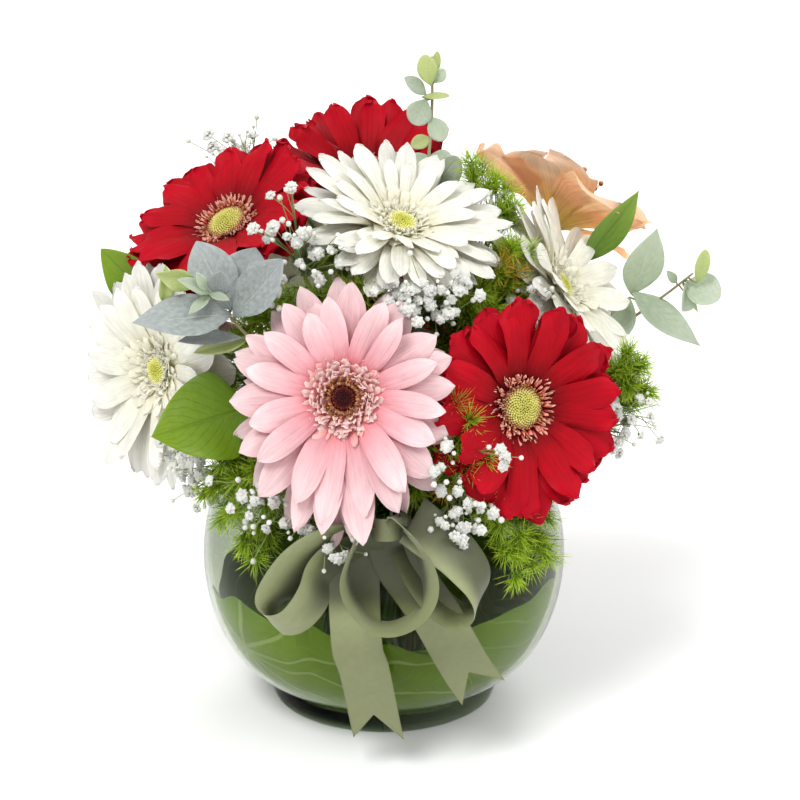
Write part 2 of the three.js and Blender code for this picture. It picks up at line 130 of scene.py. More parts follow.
class Nodes:
    """A material's node tree, with short ways to add the nodes used here."""

    def __init__(self, name):
        self.material = bpy.data.materials.new(name)
        self.material.use_nodes = True
        self.tree = self.material.node_tree
        self.tree.nodes.clear()

    def add(self, kind, inputs=None, **settings):
        """A node whose inputs are linked to another node's outputs, or else set to a value."""
        made = self.tree.nodes.new(kind)
        for key, value in settings.items():
            setattr(made, key, value)
        for key, value in (inputs or {}).items():
            if isinstance(value, bpy.types.NodeSocket):
                self.tree.links.new(value, made.inputs[key])
            else:
                made.inputs[key].default_value = value
        return made

    def attribute(self, name):
        return self.add("ShaderNodeAttribute", attribute_name=name).outputs["Fac"]

    def position(self):
        return self.add("ShaderNodeNewGeometry").outputs["Position"]

    def coordinate(self, axis):
        """A point's place along X, Y or Z, in metres."""
        return self.add("ShaderNodeSeparateXYZ", {"Vector": self.position()}).outputs[axis]

    def math(self, operation, first, second=0.0):
        return self.add("ShaderNodeMath", {0: first, 1: second}, operation=operation).outputs[0]

    def times(self, first, second):
        return self.math("MULTIPLY", first, second)

    def plus(self, first, second):
        return self.math("ADD", first, second)

    def less(self, first, second):
        return self.math("SUBTRACT", first, second)

    def remap(self, value, low, high, to_low=0.0, to_high=1.0):
        inputs = {"Value": value, "From Min": low, "From Max": high, "To Min": to_low, "To Max": to_high}
        return self.add("ShaderNodeMapRange", inputs, interpolation_type="SMOOTHSTEP").outputs[0]

    def vector(self, x, y, z=0.0):
        return self.add("ShaderNodeCombineXYZ", {"X": x, "Y": y, "Z": z}).outputs[0]

    def noise(self, vector, scale, detail):
        inputs = {"Vector": vector, "Scale": scale, "Detail": detail}
        return self.add("ShaderNodeTexNoise", inputs).outputs["Fac"]

    def grain(self, across, along, tone, scale, detail):
        """Noise stretched over a petal or leaf, another pattern for each tone."""
        x = self.times(self.attribute("across"), across)
        y = self.times(self.attribute("along"), along)
        return self.noise(self.vector(x, y, self.times(self.attribute("tone"), tone)), scale, detail)

    def ramp(self, value, stops):
        made = self.add("ShaderNodeValToRGB", {"Fac": value})
        elements = made.color_ramp.elements
        while len(elements) < len(stops):
            elements.new(0.5)
        for element, (place, colour) in zip(elements, stops):
            element.position = place
            element.color = colour
        return made.outputs["Color"]

    def blend(self, amount, first, second, kind="MIX"):
        made = self.add("ShaderNodeMix", {0: amount, 6: first, 7: second}, data_type="RGBA", blend_type=kind)
        return made.outputs[2]

    def shaded(self, colour, shade):
        """A colour made darker or lighter by a grey value."""
        return self.blend(1.0, colour, self.vector(shade, shade, shade), "MULTIPLY")

    def bump(self, height, strength, distance):
        inputs = {"Height": height, "Strength": strength, "Distance": distance}
        return self.add("ShaderNodeBump", inputs).outputs["Normal"]

    def principled(self, colour, settings):
        return self.add("ShaderNodeBsdfPrincipled", {"Base Color": colour, **settings}).outputs[0]

    def mixed(self, share, first, second):
        return self.add("ShaderNodeMixShader", {0: share, 1: first, 2: second}).outputs[0]

    def finish(self, shader, body=None):
        output = self.add("ShaderNodeOutputMaterial", {"Surface": shader})
        if body is not None:
            self.tree.links.new(body, output.inputs["Volume"])
        return self.material


def thin_plant(nodes, colour, rough, through, normal, specular=0.3, coat=0.0):
    """The shader of a petal or leaf: partly a soft gloss, partly light that comes through it."""
    surface = nodes.principled(colour, {"Normal": normal, "Roughness": rough, "Specular IOR Level": specular,
                                        "Coat Weight": coat, "Coat Roughness": 0.25})
    glow = nodes.add("ShaderNodeBsdfTranslucent", {"Color": colour, "Normal": normal}).outputs[0]
    return nodes.mixed(through, surface, glow)


# ---------------------------------------------------------------- plant materials
# Each mesh carries three values at every point: "along" runs from 0 at a petal's or leaf's base to 1
# at its tip, "across" from -1 to 1 over its width, and "tone" is one number for the whole petal.


def petal_material(name, colours, vein_dark, specular, through):
    nodes = Nodes(name)
    along, across, tone = (nodes.attribute(key) for key in ("along", "across", "tone"))
    colour = nodes.ramp(along, stops_at((0.1, 0.45, 1.0), colours))
    fibres = nodes.grain(9.0, 1.0, 40.0, 2.2, 3.0)
    blotches = nodes.grain(1.0, 3.0, 23.0, 1.6, 2.0)
    lines = nodes.math("ABSOLUTE", nodes.math("SINE", nodes.times(across, 7.2)))
    dark = nodes.times(nodes.remap(lines, 0.22, 0.0), nodes.remap(along, 0.2, 1.0, 1.0, 0.15))
    shade = nodes.plus(nodes.remap(fibres, 0.3, 0.7, 0.9, 1.06), nodes.remap(tone, 0.0, 1.0, -0.12, 0.06))
    shade = nodes.times(shade, nodes.remap(blotches, 0.3, 0.7, 0.93, 1.05))
    shade = nodes.less(shade, nodes.times(dark, vein_dark))
    normal = nodes.bump(nodes.plus(nodes.times(lines, 0.5), fibres), 0.35, 0.0006)
    return nodes.finish(thin_plant(nodes, nodes.shaded(colour, shade), 0.55, through, normal, specular))


def plain_plant_material(name, colours, rough, through, vary):
    """Stalks, bracts, needles and buds: a colour from base to tip, varied from one to the next."""
    nodes = Nodes(name)
    colour = nodes.ramp(nodes.attribute("along"), stops_at((0.0, 0.45, 1.0), colours))
    grain = nodes.grain(3.0, 9.0, 31.0, 3.0, 3.0)
    vary_tone = nodes.remap(nodes.attribute("tone"), 0.0, 1.0, -vary, vary * 0.6)
    shade = nodes.plus(nodes.remap(grain, 0.3, 0.7, 0.86, 1.1), vary_tone)
    normal = nodes.bump(grain, 0.3, 0.0004)
    return nodes.finish(thin_plant(nodes, nodes.shaded(colour, shade), rough, through, normal, 0.25))


def leaf_colour(nodes, colours, veins, vein_share, bloom=None):
    """A leaf's colour and bump, from its colours at base and tip and of the veins, and its bloom's."""
    base, tip, vein = colours
    colour = nodes.ramp(nodes.attribute("along"), stops_at((0.0, 1.0), (base, tip)))
    colour = nodes.blend(nodes.times(veins, vein_share), colour, srgb(vein))
    patches = nodes.grain(2.0, 5.0, 7.0, 3.0, 4.0)
    if bloom is not None:
        colour = nodes.blend(nodes.remap(patches, 0.3, 0.8, 0.0, 0.3), colour, srgb(bloom))
    vary = nodes.remap(nodes.attribute("tone"), 0.0, 1.0, -0.12, 0.08)
    shade = nodes.plus(nodes.remap(patches, 0.3, 0.7, 0.94, 1.04), vary)
    net = nodes.grain(14.0, 30.0, 1.0, 2.0, 2.0)
    height = nodes.less(nodes.times(net, 0.25), veins)
    return nodes.shaded(colour, shade), nodes.bump(height, 0.5, 0.0007)


def leaf_material(name, colours, ribs, slant, rough, through, coat, vein_share, bloom=None):
    """A leaf with a midrib, side veins that slant towards the tip and a faint net between them."""
    nodes = Nodes(name)
    width = nodes.math("ABSOLUTE", nodes.attribute("across"))
    wobble = nodes.grain(1.0, 4.0, 19.0, 2.0, 2.0)
    ladder = nodes.less(nodes.times(nodes.attribute("along"), ribs), nodes.times(width, slant))
    side = nodes.math("PINGPONG", nodes.plus(ladder, nodes.times(wobble, 0.6)), 0.5)
    side = nodes.times(nodes.remap(side, 0.075, 0.0), 0.55)
    veins = nodes.math("MAXIMUM", nodes.remap(width, 0.07, 0.02), side)
    colour, normal = leaf_colour(nodes, colours, veins, vein_share, bloom)
    return nodes.finish(thin_plant(nodes, colour, rough, through, normal, 0.4, coat))


def fan_leaf_material(name, colours, middle, spokes):
    """A big leaf whose veins fan out from one place, given by its along and across values."""
    nodes = Nodes(name)
    x = nodes.times(nodes.plus(nodes.attribute("along"), -middle[0]), 2.6)
    y = nodes.plus(nodes.attribute("across"), -middle[1])
    angle = nodes.math("ARCTAN2", y, x)
    reach = nodes.math("SQRT", nodes.plus(nodes.times(x, x), nodes.times(y, y)))
    wobble = nodes.grain(1.0, 3.0, 9.0, 2.0, 2.0)
    spoke = nodes.math("PINGPONG", nodes.times(nodes.plus(angle, nodes.times(wobble, 0.25)), spokes), 0.5)
    main = nodes.remap(nodes.times(spoke, reach), 0.045, 0.012)
    ladder = nodes.plus(nodes.times(reach, 7.0), nodes.times(spoke, 3.0))
    side = nodes.math("PINGPONG", nodes.plus(ladder, nodes.times(wobble, 1.2)), 0.5)
    veins = nodes.math("MAXIMUM", main, nodes.times(nodes.remap(side, 0.07, 0.0), 0.3))
    colour, normal = leaf_colour(nodes, colours, veins, 0.6)
    return nodes.finish(thin_plant(nodes, colour, 0.45, 0.22, normal, 0.15))


def eye_material(name, places, colours):
    """The small buds of a gerbera's eye: "tone" is the share of the way out from its middle."""
    nodes = Nodes(name)
    colour = nodes.ramp(nodes.attribute("tone"), stops_at(places, colours))
    grain = nodes.noise(nodes.position(), 900.0, 2.0)
    # Painted shade: each bud is darker towards its base, where it meets the next.
    shade = nodes.remap(nodes.attribute("along"), 0.0, 0.9, 0.6, 1.12)
    shade = nodes.times(shade, nodes.remap(grain, 0.3, 0.7, 0.85, 1.1))
    normal = nodes.bump(grain, 0.3, 0.0004)
    return nodes.finish(thin_plant(nodes, nodes.shaded(colour, shade), 0.6, 0.15, normal))


def ribbon_material():
    """Woven satin with soft clouds, darker at its edges, with painted shade deep in the bow's fold hollows
    and on each tail.
    """
    nodes = Nodes("ribbon_satin")
    along, across = nodes.attribute("along"), nodes.attribute("across")
    threads = nodes.math("SINE", nodes.times(across, 330.0))
    weave = nodes.times(threads, nodes.math("SINE", nodes.times(along, 3400.0)))
    clouds = nodes.noise(nodes.vector(nodes.times(across, 1.5), nodes.times(along, 14.0)), 2.0, 3.0)
    slubs = nodes.noise(nodes.vector(nodes.times(across, 2.0), nodes.times(along, 160.0)), 2.0, 2.0)
    shade = nodes.times(nodes.remap(clouds, 0.3, 0.7, 0.96, 1.03), nodes.remap(slubs, 0.3, 0.7, 0.97, 1.02))
    edge = nodes.remap(nodes.math("ABSOLUTE", across), 0.93, 0.99, 1.0, 0.86)
    height = nodes.coordinate("Z")
    # Painted shade: darker towards the back of the bow and above 78 to 100 mm, inside its loops.
    deep = nodes.times(nodes.remap(nodes.coordinate("Y"), -0.115, -0.101), nodes.remap(height, 0.078, 0.1))
    painted_fold_shade = nodes.remap(deep, 0.0, 1.0, 1.0, 0.3)
    # Painted shade: darker below 60 to 85 mm, most of all on each tail.
    painted_tail_shade = nodes.remap(height, 0.06, 0.085, 0.68, 1.0)
    shade = nodes.times(nodes.times(shade, edge), nodes.times(painted_tail_shade, painted_fold_shade))
    colour = nodes.shaded(srgb((146, 152, 108)), shade)
    normal = nodes.bump(nodes.plus(nodes.times(weave, 0.5), nodes.times(clouds, 2.0)), 0.12, 0.0002)
    surface = nodes.principled(colour, {"Normal": normal, "Roughness": 0.42, "Specular IOR Level": 0.45,
                                        "Sheen Weight": 0.2, "Sheen Roughness": 0.4, "Anisotropic": 0.5})
    glow = nodes.add("ShaderNodeBsdfTranslucent", {"Color": colour}).outputs[0]
    return nodes.finish(nodes.mixed(0.08, surface, glow))


def glass_material():
    """Faintly green glass, darker above 60 to 100 mm as painted shade of the bowl's inside. Lamps shine
    straight through it.
    """
    nodes = Nodes("vase_glass")
    waves = nodes.noise(nodes.position(), 9.0, 1.0)
    height = nodes.coordinate("Z")
    # Painted shade: the tint darkens from 60 to 100 mm up, varied by the waves in the glass.
    painted_shade_above = nodes.plus(nodes.remap(height, 0.06, 0.1), nodes.remap(waves, 0.3, 0.7, 0.15, -0.15))
    tint = nodes.ramp(painted_shade_above, [(0.0, (0.76, 0.8, 0.7, 1)), (1.0, (0.43, 0.47, 0.39, 1))])
    normal = nodes.bump(waves, 0.25, 0.003)
    glass = nodes.principled(tint, {"Normal": normal, "Transmission Weight": 1.0, "Roughness": 0.0,
                                    "IOR": 1.22, "Specular Tint": (0.5, 0.5, 0.5, 1)})
    clear = nodes.add("ShaderNodeBsdfTransparent", {"Color": (0.78, 0.83, 0.76, 1)}).outputs[0]
    shadow = nodes.add("ShaderNodeLightPath").outputs["Is Shadow Ray"]
    body = nodes.add("ShaderNodeVolumeAbsorption", {"Color": (0.52, 0.6, 0.42, 1), "Density": 35.0})
    return nodes.finish(nodes.mixed(shadow, glass, clear), body.outputs[0])


def wire_material():
    nodes = Nodes("wire_green")
    flecks = nodes.grain(1.0, 30.0, 1.0, 3.0, 4.0)
    colour = nodes.ramp(flecks, stops_at((0.35, 0.7), ((48, 70, 38), (92, 112, 70))))
    normal = nodes.bump(flecks, 0.4, 0.0002)
    return nodes.finish(nodes.principled(colour, {"Normal": normal, "Roughness": 0.45}))


def floor_material():
    nodes = Nodes("studio_floor")
    clouds = nodes.noise(nodes.position(), 3.0, 3.0)
    tone = nodes.ramp(clouds, [(0.3, (0.86, 0.86, 0.86, 1)), (0.7, (0.89, 0.89, 0.89, 1))])
    return nodes.finish(nodes.principled(tone, {"Roughness": 0.6}))


# The petals' colours at base, middle and tip, how dark their veins are, and their gloss and glow.
PETALS = {
    # The red petals' dark base colour is painted shade where they overlap round the eye.
    "petal_red": (((84, 0, 4), (168, 0, 18), (190, 2, 30)), 0.25, 0.12, 0.2),
    "petal_pink": (((232, 112, 122), (238, 180, 186), (250, 226, 227)), 0.12, 0.2, 0.3),
    "petal_white": (((236, 232, 196), (242, 240, 226), (248, 247, 241)), 0.07, 0.2, 0.32),
    "petal_peach": (((246, 228, 140), (255, 224, 186), (255, 234, 214)), 0.12, 0.1, 0.6),
}

# Small parts: their colours from base to tip, roughness, glow, and how much one differs from another.
SMALL_PARTS = {
    "floret_red": (((150, 8, 20), (222, 92, 82), (255, 214, 186)), 0.5, 0.3, 0.15),
    "floret_coral": (((240, 110, 118), (250, 170, 168), (255, 222, 218)), 0.5, 0.45, 0.08),
    "floret_pink": (((250, 176, 174), (255, 210, 205), (255, 240, 236)), 0.5, 0.45, 0.05),
    "floret_cream": (((232, 230, 176), (246, 243, 222), (252, 250, 238)), 0.5, 0.35, 0.06),
    "anther": (((84, 16, 20), (160, 76, 40), (224, 168, 100)), 0.5, 0.2, 0.2),
    "calyx": (((76, 112, 48), (98, 131, 64), (120, 150, 80)), 0.6, 0.1, 0.2),
    "stem": (((120, 128, 78), (96, 126, 60), (116, 150, 74)), 0.5, 0.1, 0.15),
    "twig": (((120, 92, 72), (138, 120, 92), (156, 150, 116)), 0.6, 0.0, 0.2),
    "fern": (((86, 124, 14), (160, 190, 38), (216, 232, 98)), 0.5, 0.45, 0.35),
    "fern_rust": (((110, 140, 30), (180, 160, 50), (222, 150, 60)), 0.5, 0.35, 0.3),
    "gypsophila": (((214, 220, 190), (240, 241, 232), (250, 250, 247)), 0.6, 0.4, 0.06),
    "fine_stalk": (((104, 128, 70), (132, 152, 94), (160, 176, 120)), 0.5, 0.2, 0.2),
    "raffia": (((160, 136, 92), (173, 149, 102), (186, 162, 112)), 0.75, 0.05, 0.25),
}

# The buds of the eyes: places from the middle of the eye to its rim, and the colour at each.
EYE_COLOURS = {
    "eye_green": ((0.0, 0.7, 0.86, 1.0), ((184, 182, 80), (210, 202, 112), (190, 150, 104), (128, 54, 50))),
    "eye_yellow": ((0.0, 0.6, 1.0), ((178, 182, 60), (214, 212, 110), (240, 236, 190))),
    "eye_maroon": ((0.0, 0.7, 1.0), ((44, 2, 8), (66, 8, 14), (120, 44, 28))),
}

# The leaves: colours at base and tip and of the veins, number and slant of the side veins, roughness,
# glow, waxy coat, strength of the veins, and the colour of their bloom.
LEAVES = {
    "eucalyptus_leaf": (((138, 147, 142), (164, 170, 169), (196, 201, 192)), 9.0, 2.4, 0.6, 0.2, 0.0, 0.3,
                        (198, 201, 203)),
    "eucalyptus_pale": (((178, 197, 164), (208, 217, 197), (222, 228, 208)), 8.0, 2.2, 0.6, 0.35, 0.0, 0.35,
                        (206, 212, 204)),
    "eucalyptus_young": (((190, 206, 132), (208, 218, 154), (222, 227, 184)), 8.0, 2.0, 0.55, 0.35, 0.0, 0.3),
    "broad_leaf": (((96, 134, 14), (136, 168, 20), (84, 116, 14)), 8.0, 4.2, 0.4, 0.3, 0.12, 0.3),
    "lance_leaf": (((96, 140, 36), (150, 180, 74), (88, 126, 40)), 3.0, 2.6, 0.4, 0.3, 0.12, 0.35),
    "lining_leaf": (((120, 148, 24), (130, 158, 34), (192, 204, 138)), 6.0, 3.2, 0.4, 0.3, 0.05, 0.5),
}

# A lining leaf's colours at base and tip and of the veins, where its veins meet, and how many fan out.
FAN_LEAF = (((118, 146, 22), (138, 164, 50), (196, 206, 144)), (0.68, 0.4), 1.7)


def make_materials():
    """All the materials of the pieces, by name."""
    made = {"ribbon": ribbon_material(), "glass": glass_material(), "wire": wire_material()}
    kinds = ((petal_material, PETALS), (plain_plant_material, SMALL_PARTS), (eye_material, EYE_COLOURS),
             (leaf_material, LEAVES), (fan_leaf_material, {"lining_fan": FAN_LEAF}))
    for maker, looks in kinds:
        for name, values in looks.items():
            made[name] = maker(name, *values)
    return made


materials = make_materials()

# ---------------------------------------------------------------- mesh building

# Parts smaller than this, in mm, are small: the copies of one share a few cells of the bake's map.
SMALL_PART = 9.0
SHARED_CELLS = 8
SHARPEST_FOLD = 75

# Copies of one part: points (copies, n, 3), arrays of faces with 3 or 4 corners each, a material, and
# three values at every point.
Patch = collections.namedtuple("Patch", "points faces material along across tone")


def map_places(patches):
    """Each point's place on the bake's map.

    Every big part has a cell in the map's upper part, and small parts of much the same tone share
    one in the lower part.
    """
    cells, counts = [], [0, 0]
    for patch in patches:
        copies = len(patch.points)
        small = int(np.ptp(patch.points[0], axis=0).max() < SMALL_PART)
        used = min(copies, SHARED_CELLS) if small else copies
        rank = np.argsort(np.argsort(patch.tone[:, 0], kind="stable"), kind="stable")
        cells.append((small, counts[small] + rank * used // copies))
        counts[small] += used
    places = []
    for patch, (small, cell) in zip(patches, cells):
        wide = math.ceil(math.sqrt(2 * counts[small]))
        high = math.ceil(counts[small] / wide)
        low, top = ((0.26, 1.0), (0.0, 0.25))[small]
        u = ((cell % wide)[:, None] + 0.5 + 0.46 * patch.across) / wide
        v = ((cell // wide)[:, None] + 0.04 + 0.92 * patch.along) / high
        places.append(np.stack([u, low + (top - low) * v], axis=-1).reshape(-1, 2))
    return np.concatenate(places)


class Piece:
    """One visible piece: patches of faces, gathered in millimetres and made into one mesh."""

    def __init__(self, name, slot):
        self.name = name
        self.slot = slot
        self.patches = []
        self.rng = np.random.default_rng(sum(name.encode()) * 7 + len(name))

    def add(self, points, faces, material, along, across, tone):
        """Adds copies of a patch. along and across have a value for each point, tone for each copy."""
        copies = points.shape[:2]
        tone = np.broadcast_to(tone, len(points))[:, None]
        values = [np.broadcast_to(value, copies) for value in (along, across, tone)]
        self.patches.append(Patch(points, faces, material, *values))

    def column(self, key):
        """The points of all the patches in a row, or their along, across or tone values."""
        parts = [getattr(patch, key) for patch in self.patches]
        return np.concatenate([part.reshape(-1, *part.shape[2:]) for part in parts])

    def face_groups(self):
        """Each group of faces, numbered like the points of all the patches, with its material."""
        start = 0
        for patch in self.patches:
            copies, size = patch.points.shape[:2]
            for group in patch.faces:
                numbered = group[None] + (np.arange(copies) * size)[:, None, None] + start
                yield numbered.reshape(-1, group.shape[1]), patch.material
            start += copies * size

    def make(self):
        names = sorted({patch.material for patch in self.patches})
        corners, starts, slots = [], [], []
        for faces, material in self.face_groups():
            starts.append(sum(map(len, corners)) + np.arange(len(faces)) * faces.shape[1])
            slots.append(np.full(len(faces), names.index(material)))
            corners.append(faces.ravel())
        corners, starts, slots = (
            np.concatenate(parts).astype(np.int32) for parts in (corners, starts, slots))
        points = self.column("points") * MM
        mesh = bpy.data.meshes.new(self.name)
        mesh.vertices.add(len(points))
        mesh.vertices.foreach_set("co", points.astype(np.float32).ravel())
        mesh.loops.add(len(corners))
        mesh.loops.foreach_set("vertex_index", corners)
        mesh.polygons.add(len(starts))
        mesh.polygons.foreach_set("loop_start", starts)
        mesh.polygons.foreach_set("material_index", slots)
        mesh.update(calc_edges=True)
        for key in ("along", "across", "tone"):
            values = mesh.attributes.new(key, "FLOAT", "POINT")
            values.data.foreach_set("value", self.column(key).astype(np.float32))
        bake_map = mesh.uv_layers.new(name="OFBake", do_init=False)
        bake_map.uv.foreach_set("vector", map_places(self.patches)[corners].astype(np.float32).ravel())
        for name in names:
            mesh.materials.append(materials[name])
        mesh.polygons.foreach_set("use_smooth", np.full(len(starts), True))
        mesh.set_sharp_from_angle(angle=math.radians(SHARPEST_FOLD))
        thing = add_object(self.name, mesh)
        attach(thing, "root")
        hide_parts(self.name)
        return thing


def unit(vectors):
    return vectors / np.linalg.norm(vectors, axis=-1, keepdims=True)


def direction(azimuth, elevation):
    a, e = math.radians(azimuth), math.radians(elevation)
    return np.array([math.cos(e) * math.cos(a), math.cos(e) * math.sin(a), math.sin(e)])


def frame_facing(facing):
    """Three axes as rows: right and up as seen from the front, and the facing direction."""
    right = unit(np.cross(UP, facing))
    return np.stack([right, np.cross(facing, right), facing])


def frames_along(directions, spins):
    """One set of axes for each direction, turned about it by its spin."""
    helper = np.where(np.abs(directions[:, 2:]) < 0.9, [[0.0, 0.0, 1.0]], [[1.0, 0.0, 0.0]])
    right = unit(np.cross(helper, directions))
    forward = np.cross(directions, right)
    cosine, sine = np.cos(spins)[:, None], np.sin(spins)[:, None]
    return np.stack([right * cosine + forward * sine, forward * cosine - right * sine, directions], axis=1)


def across_steps(columns):
    """Places from -1 to 1 over a width, the last inner ones close to the edges to keep those crisp."""
    inner = np.linspace(-1, 1, columns)[1:-1]
    if columns > 3:
        inner = inner * 0.93 / inner[-1]
    return np.concatenate([[-1.0], inner, [1.0]])


def along_steps(rows, crowd=1.3):
    """Places from 0 to 1 along a length, closer together towards the end."""
    return np.concatenate([(1 - (1 - np.linspace(0, 1, rows - 1)) ** crowd) * 0.985, [1.0]])


def lens_faces(rows, columns):
    """Faces of a closed thin patch: a front grid, and a back grid that shares its border."""
    front = np.arange(rows * columns).reshape(rows, columns)
    back = front.copy()
    inner = (rows - 2) * (columns - 2)
    back[1:-1, 1:-1] = rows * columns + np.arange(inner).reshape(rows - 2, columns - 2)

    def quads(grid):
        return np.stack([grid[:-1, :-1], grid[:-1, 1:], grid[1:, 1:], grid[1:, :-1]], axis=-1).reshape(-1, 4)

    return [np.concatenate([quads(front), quads(back)[:, ::-1]])]


def add_sheets(piece, grids, v, material, tone, thickness):
    """Closes (copies, rows, columns, 3) sheets into thin solids and adds them. v is each row's place."""
    rows, columns = grids.shape[1:3]
    normal = np.cross(np.gradient(grids, axis=2), np.gradient(grids, axis=1))
    normal /= np.maximum(np.linalg.norm(normal, axis=-1, keepdims=True), 1e-9)
    back = (grids - normal * thickness)[:, 1:-1, 1:-1]
    points = np.concatenate([grids.reshape(len(grids), -1, 3), back.reshape(len(grids), -1, 3)], axis=1)
    along = np.repeat(v, columns)
    across = np.tile(across_steps(columns), rows)
    inner = np.arange(rows * columns).reshape(rows, columns)[1:-1, 1:-1].ravel()
    along, across = np.concatenate([along, along[inner]]), np.concatenate([across, across[inner]])
    piece.add(points, lens_faces(rows, columns), material, along, across, tone)


def ring_faces(rings, sides):
    """Faces of a closed body: rings of points, then one point at each end."""
    index = np.arange(rings * sides).reshape(rings, sides)
    after = np.roll(index, -1, axis=1)
    quads = np.stack([index[:-1], after[:-1], after[1:], index[1:]], axis=-1).reshape(-1, 4)
    low = np.stack([after[0], index[0], np.full(sides, rings * sides)], axis=-1)
    high = np.stack([index[-1], after[-1], np.full(sides, rings * sides + 1)], axis=-1)
    return [quads, np.concatenate([low, high])]


def ring_values(rings, sides):
    """The along and across values of a body made of rings."""
    fold = 1 - 2 * np.abs(2 * np.arange(sides) / sides - 1)
    along = np.concatenate([np.repeat(np.linspace(0.05, 0.95, rings), sides), [0, 1]])
    return along, np.concatenate([np.tile(fold, rings), [0, 0]])


def add_tube(piece, path, radii, sides, material, tone=0.5, flat=1.0):
    """A closed tube along a path of points, with a radius at each."""
    path = np.asarray(path, float)
    radii = np.broadcast_to(radii, len(path))
    tangents = unit(np.gradient(path, axis=0))
    side = UP if abs(tangents[0][2]) < 0.9 else np.array([1.0, 0.0, 0.0])
    across = np.zeros((len(path), 3))
    for i, tangent in enumerate(tangents):
        side = unit(side - tangent * (side @ tangent))
        across[i] = side
    third = np.cross(tangents, across)
    angles = (np.arange(sides) / sides * FULL_TURN)[None, :, None]
    ring = np.cos(angles) * across[:, None] + flat * np.sin(angles) * third[:, None]
    walls = path[:, None] + ring * radii[:, None, None]
    points = np.concatenate([walls.reshape(-1, 3), path[:1], path[-1:]])
    piece.add(points[None], ring_faces(len(path), sides), material, *ring_values(len(path), sides), tone)


def turned_points(profile, sides):
    """A closed turned body about +Z from [radius, height] pairs, the first and last on the axis.

    Returns its points, its faces and their along and across values.
    """
    angles = np.arange(sides) / sides * FULL_TURN
    points = [[r * math.cos(a), r * math.sin(a), z] for r, z in profile[1:-1] for a in angles]
    points += [[0, 0, profile[0][1]], [0, 0, profile[-1][1]]]
    rings = len(profile) - 2
    return np.array(points), ring_faces(rings, sides), *ring_values(rings, sides)


def add_turned(piece, profile, sides, material, tone, placed=np.asarray, first=0.0, last=1.0):
    """Adds a turned body whose along values run from first to last."""
    points, faces, along, across = turned_points(profile, sides)
    piece.add(placed(points)[None], faces, material, first + (last - first) * along, across, tone)


def add_copies(piece, template, places, axes, sizes, material, tone):
    """Copies a template to places, with its axes turned and each axis scaled by sizes (copies, 3)."""
    points, faces, along, across = template
    moved = np.einsum("nki,nij->nkj", points[None] * np.asarray(sizes)[:, None, :], axes) + places[:, None]
    piece.add(moved, faces, material, along, across, tone)


CURVE_STEPS = 24


def evenly(fine, count):
    """Points at even distances along a finely drawn line."""
    reach = np.concatenate([[0], np.cumsum(np.linalg.norm(np.diff(fine, axis=0), axis=1))])
    wanted = np.linspace(0, reach[-1], count)
    return np.stack([np.interp(wanted, reach, fine[:, k]) for k in range(3)], axis=1)


def curve_through(points, count):
    """Evenly spaced points on a centripetal Catmull-Rom curve through the given ones."""
    p = np.asarray(points, float)
    p = np.concatenate([[2 * p[0] - p[1]], p, [2 * p[-1] - p[-2]]])
    s = np.linspace(0, 1, CURVE_STEPS, endpoint=False)[:, None]
    fine = []
    for a, b, c, d in zip(p, p[1:], p[2:], p[3:]):
        ab, bc, cd = (max(np.linalg.norm(step), 1e-6) ** 0.5 for step in (b - a, c - b, d - c))
        leave = ((b - a) / ab - (c - a) / (ab + bc) + (c - b) / bc) * bc
        arrive = ((c - b) / bc - (d - b) / (bc + cd) + (d - c) / cd) * bc
        fine.append((2 * s**3 - 3 * s**2 + 1) * b + (s**3 - 2 * s**2 + s) * leave
                    + (3 * s**2 - 2 * s**3) * c + (s**3 - s**2) * arrive)
    return evenly(np.concatenate(fine + [p[-2:-1]]), count)


# A small rounded bud on +Z, one unit high and one wide.
BUD = turned_points([[0, 0], [0.3, 0.02], [0.5, 0.35], [0.42, 0.75], [0, 1.0]], 6)

# ---------------------------------------------------------------- stems

# Stems stand on STEM_FOOT, cross the tie on one of four rings, leaning as a spiral, and run straight
# on for LEAVE_LENGTH.
TIE_HEIGHT = 138
STEM_FOOT = 11
FOOT_SPREAD = 1.2
LEAVE_LENGTH = 24
RING = {"core": 8, "inner": 13, "middle": 18, "outer": 24}


def stem_line(ring, azimuth, points, ending=None, count=40):
    """A stem's line: straight from its foot through the tie, then on through the points.

    A single point is reached on one smooth bend, along the direction that ending gives.
    """
    angle = math.radians(azimuth)
    x, y = RING[ring] * math.cos(angle), RING[ring] * math.sin(angle)
    held = np.array([x, y, TIE_HEIGHT])
    foot = np.array([x + FOOT_SPREAD * y, y - FOOT_SPREAD * x, STEM_FOOT])
    leaving = held + unit(held - foot) * LEAVE_LENGTH
    last = np.asarray(points[-1], float)
    if len(points) == 1:
        arriving = last - np.asarray(ending) * 0.4 * np.linalg.norm(last - held)
        t = np.linspace(0, 1, 60)[:, None]
        rest = (1 - t)**3 * held + 3 * (1 - t)**2 * t * leaving + 3 * (1 - t) * t**2 * arriving + t**3 * last
    else:
        rest = curve_through([held, leaving, *points], 90)
    return evenly(np.concatenate([[foot], rest]), count)


def add_stem(piece, line, places, radii, sides, material, tone):
    """A tube along a stem's line, with radii given at places along it from 0 to 1."""
    thick = np.interp(np.linspace(0, 1, len(line)), places, radii)
    add_tube(piece, line, thick, sides, material, tone)


# ---------------------------------------------------------------- gerberas

